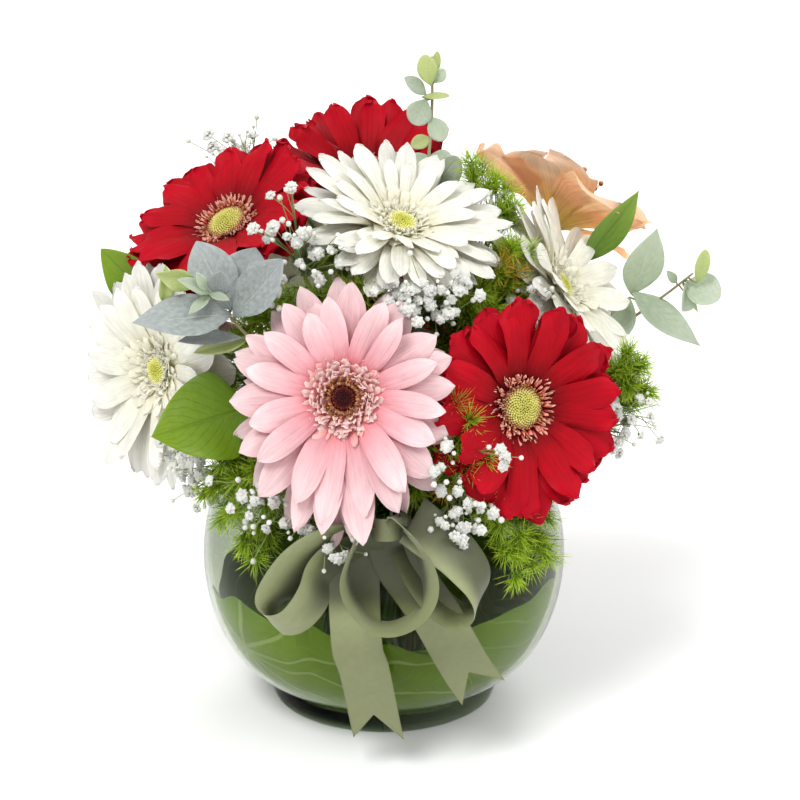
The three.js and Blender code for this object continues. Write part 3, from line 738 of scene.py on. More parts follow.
# Each gerbera's kind, the head's centre, facing (azimuth and elevation), radius, cup and how far its
# lowest petals hang, and the stem's ring and azimuth at the tie.
GERBERAS = {
    "gerbera_pink_front": ("pink", (-18.5, -86, 192), (-93, 20), 55, 5, 15, "middle", 208),
    "gerbera_red_front": ("red", (67, -62, 179), (-64, 15), 55.5, 5, 3, "middle", 268),
    "gerbera_white_left": ("white_broad", (-112, -16, 183), (-137, 6), 57, 6, 6, "middle", 140),
    "gerbera_red_left": ("red", (-79, 18, 249), (-133, 56), 54, 5, 3, "core", 130),
    "gerbera_white_top": ("white", (8.5, -20, 259), (-57, 60), 56, 8, 0, "core", 244),
    "gerbera_red_top": ("red_upright", (-10, 66, 261), (-98, 69), 52, 12, 0, "core", 68),
    "gerbera_white_right": ("white_loose", (90, 15, 217), (-14, 33), 55, 10, 0, "middle", 318),
    "gerbera_pink_back": ("pink", (-104, 62, 182), (155, 22), 52, 6, 3, "middle", 119),
    "gerbera_white_back": ("white_broad", (-36, 113, 206), (104, 34), 52, 6, 2, "middle", 98),
    "gerbera_red_back": ("red", (46, 114, 172), (66, 20), 52, 6, 3, "middle", 36),
}

# Petals start this far out from a head's middle, and florets this high over it. The calyx is this
# deep, and holds this many bracts in each of its two rows.
PETAL_START = 8.5
FLORET_SEAT = 2.4
CALYX_DEPTH = 13
BRACTS = 16
PETAL_THICKNESS, FLORET_THICKNESS = 0.45, 0.25
STEM_RADIUS = 2.8

# The outline of a petal of each colour, as the arguments of petal_grids.
PETAL_SHAPES = {
    "red": dict(belly=0.5, point=0.74, blunt=3.2, sharp=0.5, teeth=0.024, wave=2.8, channel=0.14, frill=0.7),
    "pink": dict(belly=0.42, point=0.62, blunt=2.3, sharp=0.72, teeth=0.006, wave=1.3, channel=0.18),
    "white": dict(belly=0.42, point=0.68, blunt=2.6, sharp=0.6, teeth=0.014, wave=0.7, channel=0.12),
}

# Layers of petals, lowest first: how many, their reach as a share of the head's radius, their width,
# how steeply they rise, how much their tips bend up (or down), and how high they start.
PETAL_LAYERS = {
    "red": [(15, 0.97, 18.5, -3, -6, -2.2), (16, 1.0, 18, 4, -4, -0.8), (13, 0.95, 16, 11, -10, 0.8)],
    "red_upright": [(14, 1.0, 17, 2, 16, -2.2), (14, 1.02, 16, 14, 22, -0.8), (12, 0.9, 15, 24, 12, 0.8)],
    "pink": [(17, 1.08, 14, -12, -12, -2.4), (18, 1.03, 14.5, 0, -4, -0.8), (15, 0.94, 13.5, 9, -8, 0.8)],
    "white": [(20, 0.98, 11, -5, -8, -2.6), (22, 1.02, 10.5, 2, -3, -1.2), (20, 0.94, 9.5, 9, -5, 0.2),
              (18, 0.72, 8.5, 18, -8, 1.4)],
    "white_loose": [(14, 1.0, 15, -6, -12, -2.4), (15, 1.04, 15, 3, -4, -1.0), (14, 0.9, 12.5, 13, -8, 0.4)],
    "white_broad": [(15, 1.0, 18, -3, -5, -2.4), (15, 1.02, 17.5, 4, -2, -1.0), (16, 0.86, 14, 11, -8, 0.4)],
}

# Rings of florets round the eye: material, how many, start radius, length, width, rise and curl.
FLORETS = {
    "red": [("floret_red", 46, 12.8, 7.4, 1.3, 12, 22), ("floret_red", 50, 11.8, 6.4, 1.2, 28, 22),
            ("floret_red", 52, 11.0, 5.2, 1.1, 46, 14), ("anther", 46, 10.2, 3.2, 0.9, 66, 0)],
    "pink": [("floret_coral", 30, 14.0, 12.0, 3.4, 6, -8), ("floret_coral", 30, 13.0, 9.5, 3.2, 16, -4),
             ("floret_pink", 36, 13.0, 8.0, 3.6, 22, 30), ("floret_pink", 38, 12.0, 7.2, 3.4, 34, 40),
             ("floret_pink", 36, 10.8, 6.4, 3.2, 48, 40), ("floret_pink", 30, 9.6, 5.6, 2.8, 62, 30),
             ("anther", 54, 7.8, 4.6, 0.9, 50, 20), ("anther", 46, 6.2, 3.6, 0.9, 62, 10)],
    "white": [("floret_cream", 28, 10.5, 15.0, 5.4, 14, -6), ("floret_cream", 32, 9.8, 10.5, 4.0, 24, -4),
              ("floret_cream", 36, 9.0, 7.0, 2.6, 38, 0), ("floret_cream", 38, 8.0, 4.6, 1.8, 56, 0),
              ("floret_cream", 38, 7.2, 3.2, 1.4, 74, 0)],
}

# The eye of each colour: material, radius, number of buds, their size, height in the middle, fall.
EYES = {
    "red": ("eye_green", 10.4, 260, 1.35, 4.6, 2.2),
    "pink": ("eye_maroon", 5.6, 110, 1.15, 1.2, -1.4),
    "white": ("eye_yellow", 7.0, 130, 1.25, 4.4, 1.2),
}

# The cushion under the florets of each colour: its material and radius.
CUSHIONS = {"red": ("petal_red", 13.5), "pink": ("floret_coral", 16.0), "white": ("floret_cream", 18.0)}


def petal_grids(rng, count, start, reach, width, lift, curl, height, size=(15, 9), belly=0.42, point=0.62,
                blunt=2.4, sharp=0.6, teeth=0.02, wave=0.8, jitter=1.0, channel=0.1, frill=0.0, first=None):
    """Petals round the +Z axis. Returns (count, rows, columns, 3) points and the rows' places.

    Petals run out from start to reach, rise by lift degrees from height, and bend up by curl at the
    tip. belly is the width at the base as a share, point the place of the full width, blunt and sharp
    the roundness of the tip, teeth how deep it is notched, channel how far the edges drop below the
    middle, wave how much the blade twists, frill how wavy the rim is, jitter how much petals differ,
    and first the first petal's angle in degrees.
    """
    v = along_steps(size[0])
    u = across_steps(size[1])
    shape = (count, 1, 1)
    v_row, u_row = v[None, :, None], u[None, None, :]

    def spread(amount):
        return rng.normal(0, amount, count).reshape(shape) * jitter

    begin = rng.uniform(0, FULL_TURN) if first is None else math.radians(first)
    turn = (np.arange(count) / count * FULL_TURN).reshape(shape) + spread(0.05) + begin
    length = (reach - start) * (1 - np.abs(spread(0.05)))
    half = width / 2 * (1 + spread(0.09))
    rise = np.radians(lift + spread(3.5) + 1.5 * (np.arange(count) % 2).reshape(shape))
    bend = np.radians(curl + spread(8.0))

    # The middle line, by steps along the angle at which the petal stands.
    angle = rise + math.radians(16) * np.cos(np.minimum(v_row, 0.5) * math.pi) + bend * v_row**2
    step = np.diff(v, prepend=0)[None, :, None] * length
    middle = (angle + np.concatenate([angle[:, :1], angle[:, :-1]], axis=1)) / 2
    out = np.cumsum(np.cos(middle) * step, axis=1)
    up = np.cumsum(np.sin(middle) * step, axis=1)

    # The outline, with its notched tip.
    widen = belly + (1 - belly) * np.sin(np.minimum(v / point, 1) * math.pi / 2)
    taper = np.clip(1 - (np.maximum(v - point, 0) / (1 - point)) ** blunt, 0.0, 1) ** sharp
    x = np.maximum(widen * taper, 0.02)[None, :, None] * half * u_row
    tooth = teeth * length * np.cos(3 * math.pi * u_row) * np.clip((v_row - 0.86) / 0.14, 0, 1)

    # How far each point stands off the petal's plane: ribs, ruffles, the channel and a tilt.
    ribs = 0.25 * np.cos(2.5 * math.pi * u_row) * np.sin(v_row * math.pi) ** 0.5
    phase, other = rng.uniform(0, FULL_TURN, (2, count, 1, 1))
    ruffle = wave * (np.sin(v_row * 5 + phase) * u_row + 0.7 * np.sin(v_row * 8 + other) * u_row**2) * v_row
    edging = np.sin(v_row * 23 + other) * np.abs(u_row) ** 3 * v_row + np.sin(u_row * 6 + phase) * v_row**5
    ruffle = ruffle + frill * edging
    off = ribs - channel * half * u_row**2 * (1 - 0.5 * v_row) + (0.1 + spread(0.12)) * x * v_row + ruffle

    along_out = start + out + tooth * np.cos(angle) - off * np.sin(angle)
    along_up = height + up + tooth * np.sin(angle) + off * np.cos(angle)
    sideways = x + spread(0.045) * length * v_row**2
    radial = np.concatenate([np.cos(turn), np.sin(turn), np.zeros(shape)], axis=2)[:, :, None]
    tangent = np.concatenate([-np.sin(turn), np.cos(turn), np.zeros(shape)], axis=2)[:, :, None]
    grid = radial * along_out[..., None] + tangent * sideways[..., None] + UP * along_up[..., None]
    return grid[:, :, ::-1], v


def add_eye(piece, colour, placed, axes):
    """The disc of small buds in a head's middle, and the dome and cushion that they stand on."""
    material, radius, count, size, height, fall = EYES[colour]
    number = np.arange(count)
    share = np.sqrt((number + 0.5) / count)
    spin = number * GOLDEN_ANGLE
    flat = np.stack([np.cos(spin), np.sin(spin)], axis=1)
    places = np.column_stack([radius * share[:, None] * flat, height - fall * share**2])
    normals = unit(np.column_stack([0.25 * fall * share[:, None] * flat, np.ones(count)]))
    sizes = size * piece.rng.uniform(0.85, 1.15, (count, 1)) * [[1.0, 1.0, 1.2]]
    add_copies(piece, BUD, placed(places), frames_along(normals, spin) @ axes, sizes, material, share)
    edge = min(height, height - fall)
    dome = [(0, -1), (radius * 0.8, -1), (radius + 0.6, edge - 0.6), (radius, edge),
            (radius * 0.6, height - fall * 0.3), (0, height)]
    # The dome's along values of 0 to 0.1 paint it dark, as shade in the gaps between the buds.
    add_turned(piece, dome, 24, material, 0.95, placed, 0.0, 0.1)
    soft, reach = CUSHIONS[colour]
    cushion = [(0, -3), (reach, -1.2), (reach - 1, 1.0), ((reach + radius) / 2, 2.2),
               (radius + 0.4, edge - 1.2), (0, edge - 1.5)]
    add_turned(piece, cushion, 32, soft, 0.4, placed, 0.2, 0.5)


def add_calyx(piece, placed):
    """The green cup under a head, with two rows of bracts."""
    cup = [(0, -CALYX_DEPTH), (3.4, -CALYX_DEPTH), (6.5, -10.5), (9.6, -6), (11.5, -1.8), (8, -0.6),
           (0, -0.4)]
    add_turned(piece, cup, 24, "calyx", 0.4, placed)
    for start, length, height in ((4.8, 12.0, -12.2), (6.4, 12.5, -11.0)):
        grids, v = petal_grids(piece.rng, BRACTS, start, start + length, 3.6, 52, -34, height, (7, 5),
                               teeth=0.0, point=0.3, jitter=0.7)
        add_sheets(piece, placed(grids), v, "calyx", piece.rng.uniform(0, 1, BRACTS), 0.5)


def head_placer(centre, facing):
    """Returns a function that turns points from +Z to a direction and moves them to a centre, and
    the axes that it turns them to."""
    axes = frame_facing(facing)

    def placed(points):
        return points @ axes + centre

    return placed, axes


def make_gerbera(name, kind, centre, facing, radius, cup, hang, ring, azimuth):
    colour = kind.split("_")[0]
    piece = Piece(name, "petal_" + colour)
    looks = direction(*facing)
    placed, axes = head_placer(centre, looks)
    layers = PETAL_LAYERS[kind]
    for level, (count, reach, width, lift, curl, height) in enumerate(layers):
        grids, v = petal_grids(piece.rng, count, PETAL_START, radius * reach, width, lift + cup * 0.6, curl,
                               height, **PETAL_SHAPES[colour])
        low = np.clip(-grids[..., 1] / radius, 0, 1) ** 2
        grids[..., 1] -= hang * low
        grids[..., 2] += 0.2 * hang * low
        # Lower layers get lower tones and so come out darker: partly a duller colour of the outer petals,
        # partly painted shade under the layers above.
        tone = np.clip(piece.rng.uniform(0, 0.5, count) + 0.5 * level / (len(layers) - 1), 0, 1)
        add_sheets(piece, placed(grids), v, "petal_" + colour, tone, PETAL_THICKNESS)
    for material, count, start, length, width, lift, curl in FLORETS[colour]:
        grids, v = petal_grids(piece.rng, count, start, start + length, width, lift, curl, FLORET_SEAT,
                               (7, 5), teeth=0.03, point=0.7, jitter=2.0)
        add_sheets(piece, placed(grids), v, material, piece.rng.uniform(0, 1, count), FLORET_THICKNESS)
    add_eye(piece, colour, placed, axes)
    add_calyx(piece, placed)
    seat = centre - looks * CALYX_DEPTH
    line = stem_line(ring, azimuth, [seat + looks * 2], looks, 46)
    swell = STEM_RADIUS + 0.12 * np.sin(np.linspace(0, 40, len(line)))
    add_tube(piece, line, swell, 12, "stem", piece.rng.uniform(0.2, 0.8))
    piece.make()


# ---------------------------------------------------------------- the peach flower

PEACH_BASE = (89.0, 78.0, 232.0)
PEACH_FACING = (42, 50)
PEACH_SHAPE = dict(belly=0.16, point=0.74, blunt=2.6, sharp=0.5, teeth=0.03, wave=3.0, jitter=0.6,
                   channel=-0.12, frill=2.4)

# Its two rounds of three petals: reach, width, rise, height at the base and the first one's angle.
PEACH_ROUNDS = ((57, 56, 21, 0.0, 46), (53, 52, 27, 1.5, 106))

# A stamen: distances out from the flower's middle, the height at each, and its radius there.
STAMEN_OUT = np.array([1.2, 3, 6, 10, 14])
STAMEN_UP = [4, 14, 23, 29, 32]
STAMEN_RADII = [0.5, 0.5, 0.45, 0.45, 0.5]
STAMENS = 6


def make_peach():
    """A funnel of six broad wavy petals that looks away to the back, with its stamens."""
    piece = Piece("alstroemeria_peach", "petal_peach")
    looks = direction(*PEACH_FACING)
    placed, axes = head_placer(PEACH_BASE, looks)
    for reach, width, lift, height, first in PEACH_ROUNDS:
        grids, v = petal_grids(piece.rng, 3, 3.0, reach, width, lift, -30, height, (31, 21), first=first,
                               **PEACH_SHAPE)
        add_sheets(piece, placed(grids), v, "petal_peach", piece.rng.uniform(0, 1, 3), 0.5)
    tips = []
    for k in range(STAMENS):
        turn = math.radians(60 * k + 20)
        line = np.column_stack([STAMEN_OUT * math.cos(turn), STAMEN_OUT * math.sin(turn), STAMEN_UP])
        add_tube(piece, placed(line), STAMEN_RADII, 6, "petal_peach", 0.5)
        tips.append(line[-1])
    facings = frames_along(np.tile(looks, (STAMENS, 1)), np.zeros(STAMENS))
    add_copies(piece, BUD, placed(np.array(tips)), facings, np.full((STAMENS, 3), 3.0), "anther", 0.5)
    add_turned(piece, [(0, 0), (2.6, 0), (4.2, 3), (4.4, 6), (0, 8)], 14, "calyx", 0.5, placed)
    line = stem_line("core", 20, [PEACH_BASE + looks * 2], looks, 44)
    add_tube(piece, line, 2.4, 10, "stem", 0.6)
    piece.make()


# ---------------------------------------------------------------- leaves


def leaf_grid(base, tip, width, looks, size=(15, 9), curl=0.0, cup=0.0, widest=0.4, sharp=0.9, wave=0.0,
              bend=0.0):
    """A leaf's sheet from base to tip, with its face turned towards looks.

    curl lifts the tip, cup lifts the edges, widest is where it is widest, sharp is how pointed the tip
    is, wave ripples the edges, and bend curves the leaf sideways.
    """
    base, tip = np.asarray(base, float), np.asarray(tip, float)
    length = np.linalg.norm(tip - base)
    along = unit(tip - base)
    across = unit(np.cross(along, looks))
    face = np.cross(across, along)
    v = along_steps(size[0])
    u = across_steps(size[1])
    rising = np.sin(np.minimum(v / widest, 1) * math.pi / 2) ** 0.85
    falling = np.clip(1 - (np.maximum(v - widest, 0) / (1 - widest)) ** 2, 0, 1) ** sharp
    half = width / 2 * np.maximum(rising * falling, 0.06 * (1 - 0.9 * v))
    lift = curl * length * (v**2)[:, None] + cup * half[:, None] * np.abs(u[None, :]) ** 1.5
    lift = lift + wave * np.sin(v * 9)[:, None] * u[None, :] * (half / half.max())[:, None]
    side = half[:, None] * u[None, :] + bend * length * (v**2)[:, None]
    grid = base + v[:, None, None] * length * along + side[..., None] * across + lift[..., None] * face
    return grid[None, :, ::-1], v


def add_leaf(piece, base, tip, width, looks, material, thickness=0.45, **shape):
    grid, v = leaf_grid(base, tip, width, looks, **shape)
    add_sheets(piece, grid, v, material, piece.rng.uniform(0, 1), thickness)


# Single leaves on stalks: base, tip, width, looks, ring, azimuth at the tie, material and shape.
BROAD_LEAVES = {
    "broad_leaf_front_left": ((-66, -64, 179), (-112, -81, 170), 46, (-100, 30), "outer", 197, "broad_leaf",
                              dict(cup=0.14, curl=0.03, widest=0.3, sharp=1.1, wave=1.6)),
    "broad_leaf_left": ((-116, 8, 210), (-145, 18, 237), 26, (-120, 10), "outer", 157, "broad_leaf",
                        dict(cup=0.2, wave=1.0)),
    "broad_leaf_right": ((105, 52, 220), (133, 38, 261), 18, (-65, 10), "outer", 356, "lance_leaf",
                         dict(cup=0.35, curl=-0.06, widest=0.45, sharp=1.2)),
    "broad_leaf_inner_right": ((99, 58, 208), (85, 46, 236), 17, (-80, 30), "outer", 342, "lance_leaf",
                               dict(cup=0.3, sharp=1.1)),
    "broad_leaf_back_left": ((-58, 84, 250), (-88, 100, 264), 30, (130, 60), "inner", 92, "broad_leaf",
                             dict(cup=0.2, wave=1.0)),
    "broad_leaf_back": ((6, 104, 152), (8, 144, 141), 38, (90, 60), "outer", 68, "broad_leaf",
                        dict(cup=0.15, curl=-0.1, wave=1.5)),
    "broad_leaf_back_right": ((88, 72, 160), (120, 98, 155), 36, (40, 60), "outer", 17, "broad_leaf",
                              dict(cup=0.2, curl=-0.05, wave=1.2)),
}


def make_broad_leaf(name, base, tip, width, looks, ring, azimuth, material, shape):
    piece = Piece(name, "broad_leaf")
    add_leaf(piece, base, tip, width, direction(*looks), material, 0.5, size=(21, 13), **shape)
    along = unit(np.subtract(tip, base).astype(float))
    line = stem_line(ring, azimuth, [np.array(base) + along * 3], along, 40)
    add_tube(piece, line, 1.2, 8, "stem", piece.rng.uniform(0, 1))
    piece.make()


# A eucalyptus sprig's stem: its points, ring and azimuth at the tie.
EUCALYPTUS = {
    "eucalyptus_left": ([(-60, -56, 208), (-84, -58, 236)], "middle", 172),
    "eucalyptus_top": ([(22, 8, 240), (23, 31, 277), (25, 47, 303), (25, 51, 330)], "core", 330),
    "eucalyptus_right": ([(58, 32, 158), (104, 62, 163), (134, 58, 188), (150, 38, 208), (160, 24, 222)],
                         "middle", 347),
    "eucalyptus_back": ([(20, 76, 196), (27, 100, 232), (24, 122, 256)], "middle", 57),
}

# Leaves listed one by one: base, tip, width, looks, kind and shape.
EUCALYPTUS_LEAVES = {
    "eucalyptus_left": [
        ((-73, -61, 226), (-120, -74, 226), 25, (-95, 50), "leaf", dict(cup=0.25, widest=0.42, sharp=1.2)),
        ((-74, -58, 228), (-90, -50, 260), 24, (-85, 15), "leaf", dict(cup=0.2, widest=0.5, curl=-0.1)),
        ((-73, -57, 228), (-62, -46, 256), 26, (-95, 20), "leaf", dict(cup=0.2, widest=0.5, curl=-0.1)),
        ((-72, -62, 226), (-45, -64, 252), 21, (-75, 35), "leaf", dict(cup=0.5, widest=0.5, bend=-0.1)),
        ((-79, -62, 236), (-77, -67, 250), 12, (-90, 35), "leaf", dict(cup=0.3, widest=0.5)),
        ((-83, -62, 237), (-98, -68, 246), 8, (-90, 50), "pale", dict(cup=0.4, widest=0.4)),
        ((-84, -62, 238), (-89, -66, 249), 6, (-90, 30), "pale", dict(cup=0.4, widest=0.4)),
        ((-83, -62, 236), (-93, -70, 229), 6, (-90, 50), "pale", dict(cup=0.4, widest=0.4)),
        ((-83, -63, 237), (-73, -70, 236), 5, (-90, 50), "pale", dict(cup=0.4, widest=0.4)),
        ((-88, -58, 240), (-109, -60, 249), 11, (-100, 0), "young", dict(cup=0.5, curl=0.25, wave=1.5)),
        ((-106, -60, 232), (-103, -62, 250), 8, (-60, 20), "young", dict(cup=0.6, curl=-0.2)),
        ((-68, -60, 214), (-99, -66, 214), 10, (-90, 60), "leaf", dict(cup=0.4, widest=0.5)),
        ((-66, -58, 212), (-92, -64, 207), 8, (-90, 30), "young", dict(cup=0.5, curl=0.08)),
    ],
    "eucalyptus_top": [
        ((24.3, 46, 316), (20.6, 44, 332.4), 10.5, (-85, 10), "young",
         dict(cup=0.15, widest=0.55, sharp=0.6)),
        ((26, 49, 320), (27.6, 48, 333.4), 5, (-80, 5), "young", dict(cup=0.3, widest=0.55, sharp=0.6)),
        ((26, 48, 317), (31.6, 46, 324.5), 7, (-90, 20), "pale", dict(cup=0.2, widest=0.55, sharp=0.6)),
        ((22, 47, 311), (10.6, 44, 320.6), 8.5, (-90, 40), "pale", dict(cup=0.3, widest=0.5, sharp=0.7)),
        ((20, 46, 310), (34, 44, 310.8), 8, (-90, 76), "young", dict(cup=0.1, widest=0.5, sharp=0.6)),
        ((22, 45, 309), (15.2, 41, 296.6), 13.5, (-80, 15), "pale", dict(cup=0.15, widest=0.55, sharp=0.55)),
        ((24, 44, 300), (31, 41, 288), 11, (-80, 20), "pale", dict(cup=0.2, widest=0.55, sharp=0.6)),
        ((24, 40, 290), (14, 36, 286), 8, (-90, 30), "young", dict(cup=0.3, widest=0.5, sharp=0.7)),
        ((23, 34, 282), (13, 30, 276), 10, (-90, 30), "pale", dict(cup=0.3, widest=0.5, sharp=0.7)),
        ((24, 34, 282), (36, 30, 279), 10, (-90, 35), "pale", dict(cup=0.3, widest=0.5, sharp=0.7)),
        ((23, 28, 272), (20, 14, 281), 11, (-90, 30), "pale", dict(cup=0.3, widest=0.5, sharp=0.7)),
        ((22, 20, 262), (2, 26, 285), 17, (-90, 10), "pale", dict(cup=0.2, widest=0.55, sharp=0.6)),
        ((23, 22, 264), (38, 24, 284), 16, (-80, 10), "pale", dict(cup=0.2, widest=0.55, sharp=0.6)),
    ],
    "eucalyptus_right": [
        ((131, 46, 204), (142, 34, 244), 22, (-75, 5), "pale", dict(cup=0.15, widest=0.42, sharp=1.3)),
        ((131, 44, 206), (164, 32, 176), 18, (-70, 40), "pale",
         dict(cup=0.3, widest=0.42, sharp=1.3, bend=-0.12)),
        ((130, 48, 202), (122, 36, 180), 14, (-85, 20), "pale", dict(cup=0.2, widest=0.5)),
        ((156, 30, 214), (175, 24, 209), 20, (-75, 40), "pale", dict(cup=0.3, widest=0.52, sharp=0.55)),
        ((158, 30, 217), (155, 22, 202), 15, (-35, 20), "pale", dict(cup=0.5, widest=0.52, sharp=0.55)),
        ((153, 34, 214), (147, 30, 222), 5, (-90, 20), "pale", dict(cup=0.3)),
        ((163, 27, 216), (166, 24, 235), 8, (-80, 10), "young", dict(cup=0.4, widest=0.55, sharp=0.5)),
        ((158, 29, 210), (164, 27, 200), 3, (-90, 20), "young", dict(cup=0.4)),
        ((118, 62, 172), (112, 46, 196), 16, (-80, 15), "leaf", dict(cup=0.2, widest=0.5)),
        ((110, 62, 168), (130, 54, 158), 18, (-80, 40), "leaf", dict(cup=0.2, widest=0.5)),
    ],
}


def add_leaf_pairs(piece, line, bare, pairs, length, width):
    """Pairs of leaves along the end of a sprig, each pair turned a quarter from the last."""
    for pair in range(pairs):
        share = bare + (1 - bare) * pair / (pairs - 1)
        at = min(int(share * (len(line) - 1)), len(line) - 2)
        tangent = unit(line[at + 1] - line[at])
        level = unit(np.cross(tangent, UP))
        other = np.cross(tangent, level)
        spin = math.radians(90 * pair + 20) + piece.rng.normal(0, 0.2)
        size = 1 - 0.45 * pair / pairs
        for side in (-1, 1):
            out = side * (level * math.cos(spin) + other * math.sin(spin))
            towards = unit(out + tangent * (0.45 + 0.5 * pair / pairs))
            tip = line[at] + towards * length * size * piece.rng.uniform(0.9, 1.1)
            add_leaf(piece, line[at], tip, width * size, tangent + out * 0.2, "eucalyptus_leaf", cup=0.3,
                     widest=0.5, sharp=0.7, curl=piece.rng.uniform(-0.15, 0.1))


def make_eucalyptus(name, through, ring, azimuth):
    piece = Piece(name, "eucalyptus_leaf")
    line = stem_line(ring, azimuth, through, count=80)
    add_stem(piece, line, [0, 0.6, 1], [1.6, 1.4, 0.6], 8, "twig", 0.5)
    for base, tip, width, looks, kind, shape in EUCALYPTUS_LEAVES.get(name, []):
        add_leaf(piece, base, tip, width, direction(*looks), "eucalyptus_" + kind, **shape)
        nearest = line[np.argmin(np.linalg.norm(line - base, axis=1))]
        stalk = curve_through([nearest, (nearest + base) / 2 + [0, 0, -0.6], base], 6)
        add_tube(piece, stalk, 0.5, 6, "twig", 0.7)
    if name == "eucalyptus_back":
        add_leaf_pairs(piece, line, 0.6, 7, 28, 20)
    piece.make()


# ---------------------------------------------------------------- ferns

# A fern's stem, ring and azimuth at the tie, where its visible tufts are, and how many more fill
# the space round its stem.
FERNS = {
    "fern_right": ([(96, -14, 168), (130, -16, 184)], "outer", 318, [
        (123, -25, 195), (129, -25, 187), (122, -27, 178), (132, -25, 175), (115, -25, 185), (118, -20, 168),
        (126, -18, 166), (108, -16, 160), (100, -24, 152), (112, -28, 158)], 16),
    "fern_front_right": ([(50, -54, 156), (72, -66, 130), (74, -68, 112)], "outer", 270, [
        (57, -84, 127), (67, -86, 121), (77, -80, 113), (73, -78, 103), (60, -86, 113), (65, -88, 100),
        (82, -76, 106), (50, -84, 134), (66, -76, 134), (80, -66, 124), (44, -80, 142)], 18),
    "fern_front_left": ([(-48, -52, 158), (-70, -66, 128)], "outer", 188, [
        (-77, -74, 155), (-70, -78, 147), (-62, -80, 152), (-82, -72, 142), (-72, -80, 131), (-60, -82, 126),
        (-68, -80, 115), (-63, -84, 108), (-50, -82, 158), (-45, -84, 147), (-87, -66, 136), (-56, -84, 138),
        (-80, -66, 122)], 18),
    "fern_front": ([(12, -42, 158), (22, -60, 162), (30, -76, 154)], "outer", 248, [
        (35, -84, 188), (42, -84, 180), (23, -84, 170), (30, -86, 162), (21, -86, 154), (42, -86, 154),
        (50, -84, 160), (37, -86, 170), (16, -86, 144), (30, -88, 148), (10, -70, 138), (-8, -64, 136),
        (-24, -64, 132), (-14, -56, 118), (6, -56, 116), (24, -58, 122), (-34, -58, 122),
        (36, -60, 132)], 20),
    "fern_top_left": ([(-14, -34, 214), (-22, -42, 240)], "inner", 200, [
        (-15, -58, 234), (-21, -58, 228), (-8, -58, 238), (-32, -46, 232), (-40, -44, 222), (-2, -56, 226),
        (-36, -30, 214), (-52, -34, 206), (-46, -50, 200), (-28, -46, 208), (-62, -44, 220), (-67, -40, 212),
        (-58, -44, 229), (-70, -36, 224), (-60, -30, 216), (-64, -48, 204)], 26),
    "fern_top_right": ([(44, -14, 214), (52, 2, 246)], "inner", 290, [
        (57, 15, 272), (62, 15, 268), (44, 15, 282), (50, 18, 278), (66, 12, 260), (58, -30, 242),
        (63, -28, 250), (48, -34, 229), (54, -34, 221), (43, -36, 224), (36, -38, 234), (65, -26, 237),
        (70, -20, 222), (58, -36, 212), (72, -16, 244)], 26),
    "fern_back_left": ([(-66, 66, 160), (-104, 84, 140)], "outer", 111, [
        (-104, 84, 140), (-96, 92, 146), (-112, 76, 150), (-88, 96, 138), (-110, 88, 132),
        (-98, 74, 136)], 30),
    "fern_back_right": ([(60, 66, 156), (88, 100, 146)], "outer", 30, [
        (88, 100, 146), (80, 108, 152), (98, 92, 150), (94, 106, 138), (78, 96, 138), (102, 80, 146)], 30),
}

TUFT_NEEDLES = 64
NEEDLE_RADIUS = 0.22
TIP_TUFT, SIDE_TUFT = 13.0, 12.0

# Besides the tuft at its end, a shoot has side tufts at these of its nine points.
SIDE_STEPS = (7, 6, 4)

# Of a spray's visible tufts this share is rusty. Those that only fill the space are painted darker,
# as shade inside the bouquet, and end this far from the stem.
RUSTY_SHARE = 0.08
FILL_PAINTED_SHADE_LIGHTNESS = 0.35
FILL_REACH = (12, 30)


def needle_template():
    """A fine three-sided needle on +Z, one unit long, slightly bent at its tip."""
    angles = np.arange(3) / 3 * FULL_TURN
    points = [[0, 0, 0]]
    for height, radius, bend in ((0.15, 1.0, 0.0), (0.65, 0.8, 0.1)):
        points += [[radius * math.cos(a) + bend, radius * math.sin(a), height] for a in angles]
    points += [[0.4, 0, 1]]
    faces = [np.array([[1, 2, 5, 4], [2, 3, 6, 5], [3, 1, 4, 6]]),
             np.array([[0, 2, 1], [0, 3, 2], [0, 1, 3], [4, 5, 7], [5, 6, 7], [6, 4, 7]])]
    along = np.array([0, 0.15, 0.15, 0.15, 0.65, 0.65, 0.65, 1])
    across = np.array([0, -1, 0, 1, -1, 0, 1, 0], float)
    return np.array(points, float), faces, along, across


NEEDLE = needle_template()


def shoot_from(stem, end, back, rise, rng):
    """A thin side shoot that leaves a stem some steps below its nearest point to the shoot's end.

    Returns its line of nine points and the middle that it bends through.
    """
    at = max(int(np.argmin(np.linalg.norm(stem - end, axis=1))) - back, 0)
    middle = (stem[at] + end) / 2 + rng.normal(0, 1.5, 3) + UP * rise
    return curve_through([stem[at], middle, end], 9), middle


def add_tuft(piece, place, way, material, tone, long):
    """A brush of fine needles round a place, leaning along way."""
    rng = piece.rng
    many = TUFT_NEEDLES
    lean = way[None] * rng.uniform(0.1, 1.1, (many, 1))
    ways = unit(lean + unit(rng.normal(0, 1, (many, 3))))
    places = place + rng.normal(0, 0.8, (many, 3)) + way * rng.uniform(-3, 1.5, (many, 1))
    lengths = rng.uniform(0.6, 1.0, many) * long
    sizes = np.column_stack([np.full((many, 2), NEEDLE_RADIUS), lengths])
    tones = np.clip(tone + rng.uniform(-0.15, 0.15, many), 0, 1)
    axes = frames_along(ways, rng.uniform(0, FULL_TURN, many))
    add_copies(piece, NEEDLE, places, axes, sizes, material, tones)


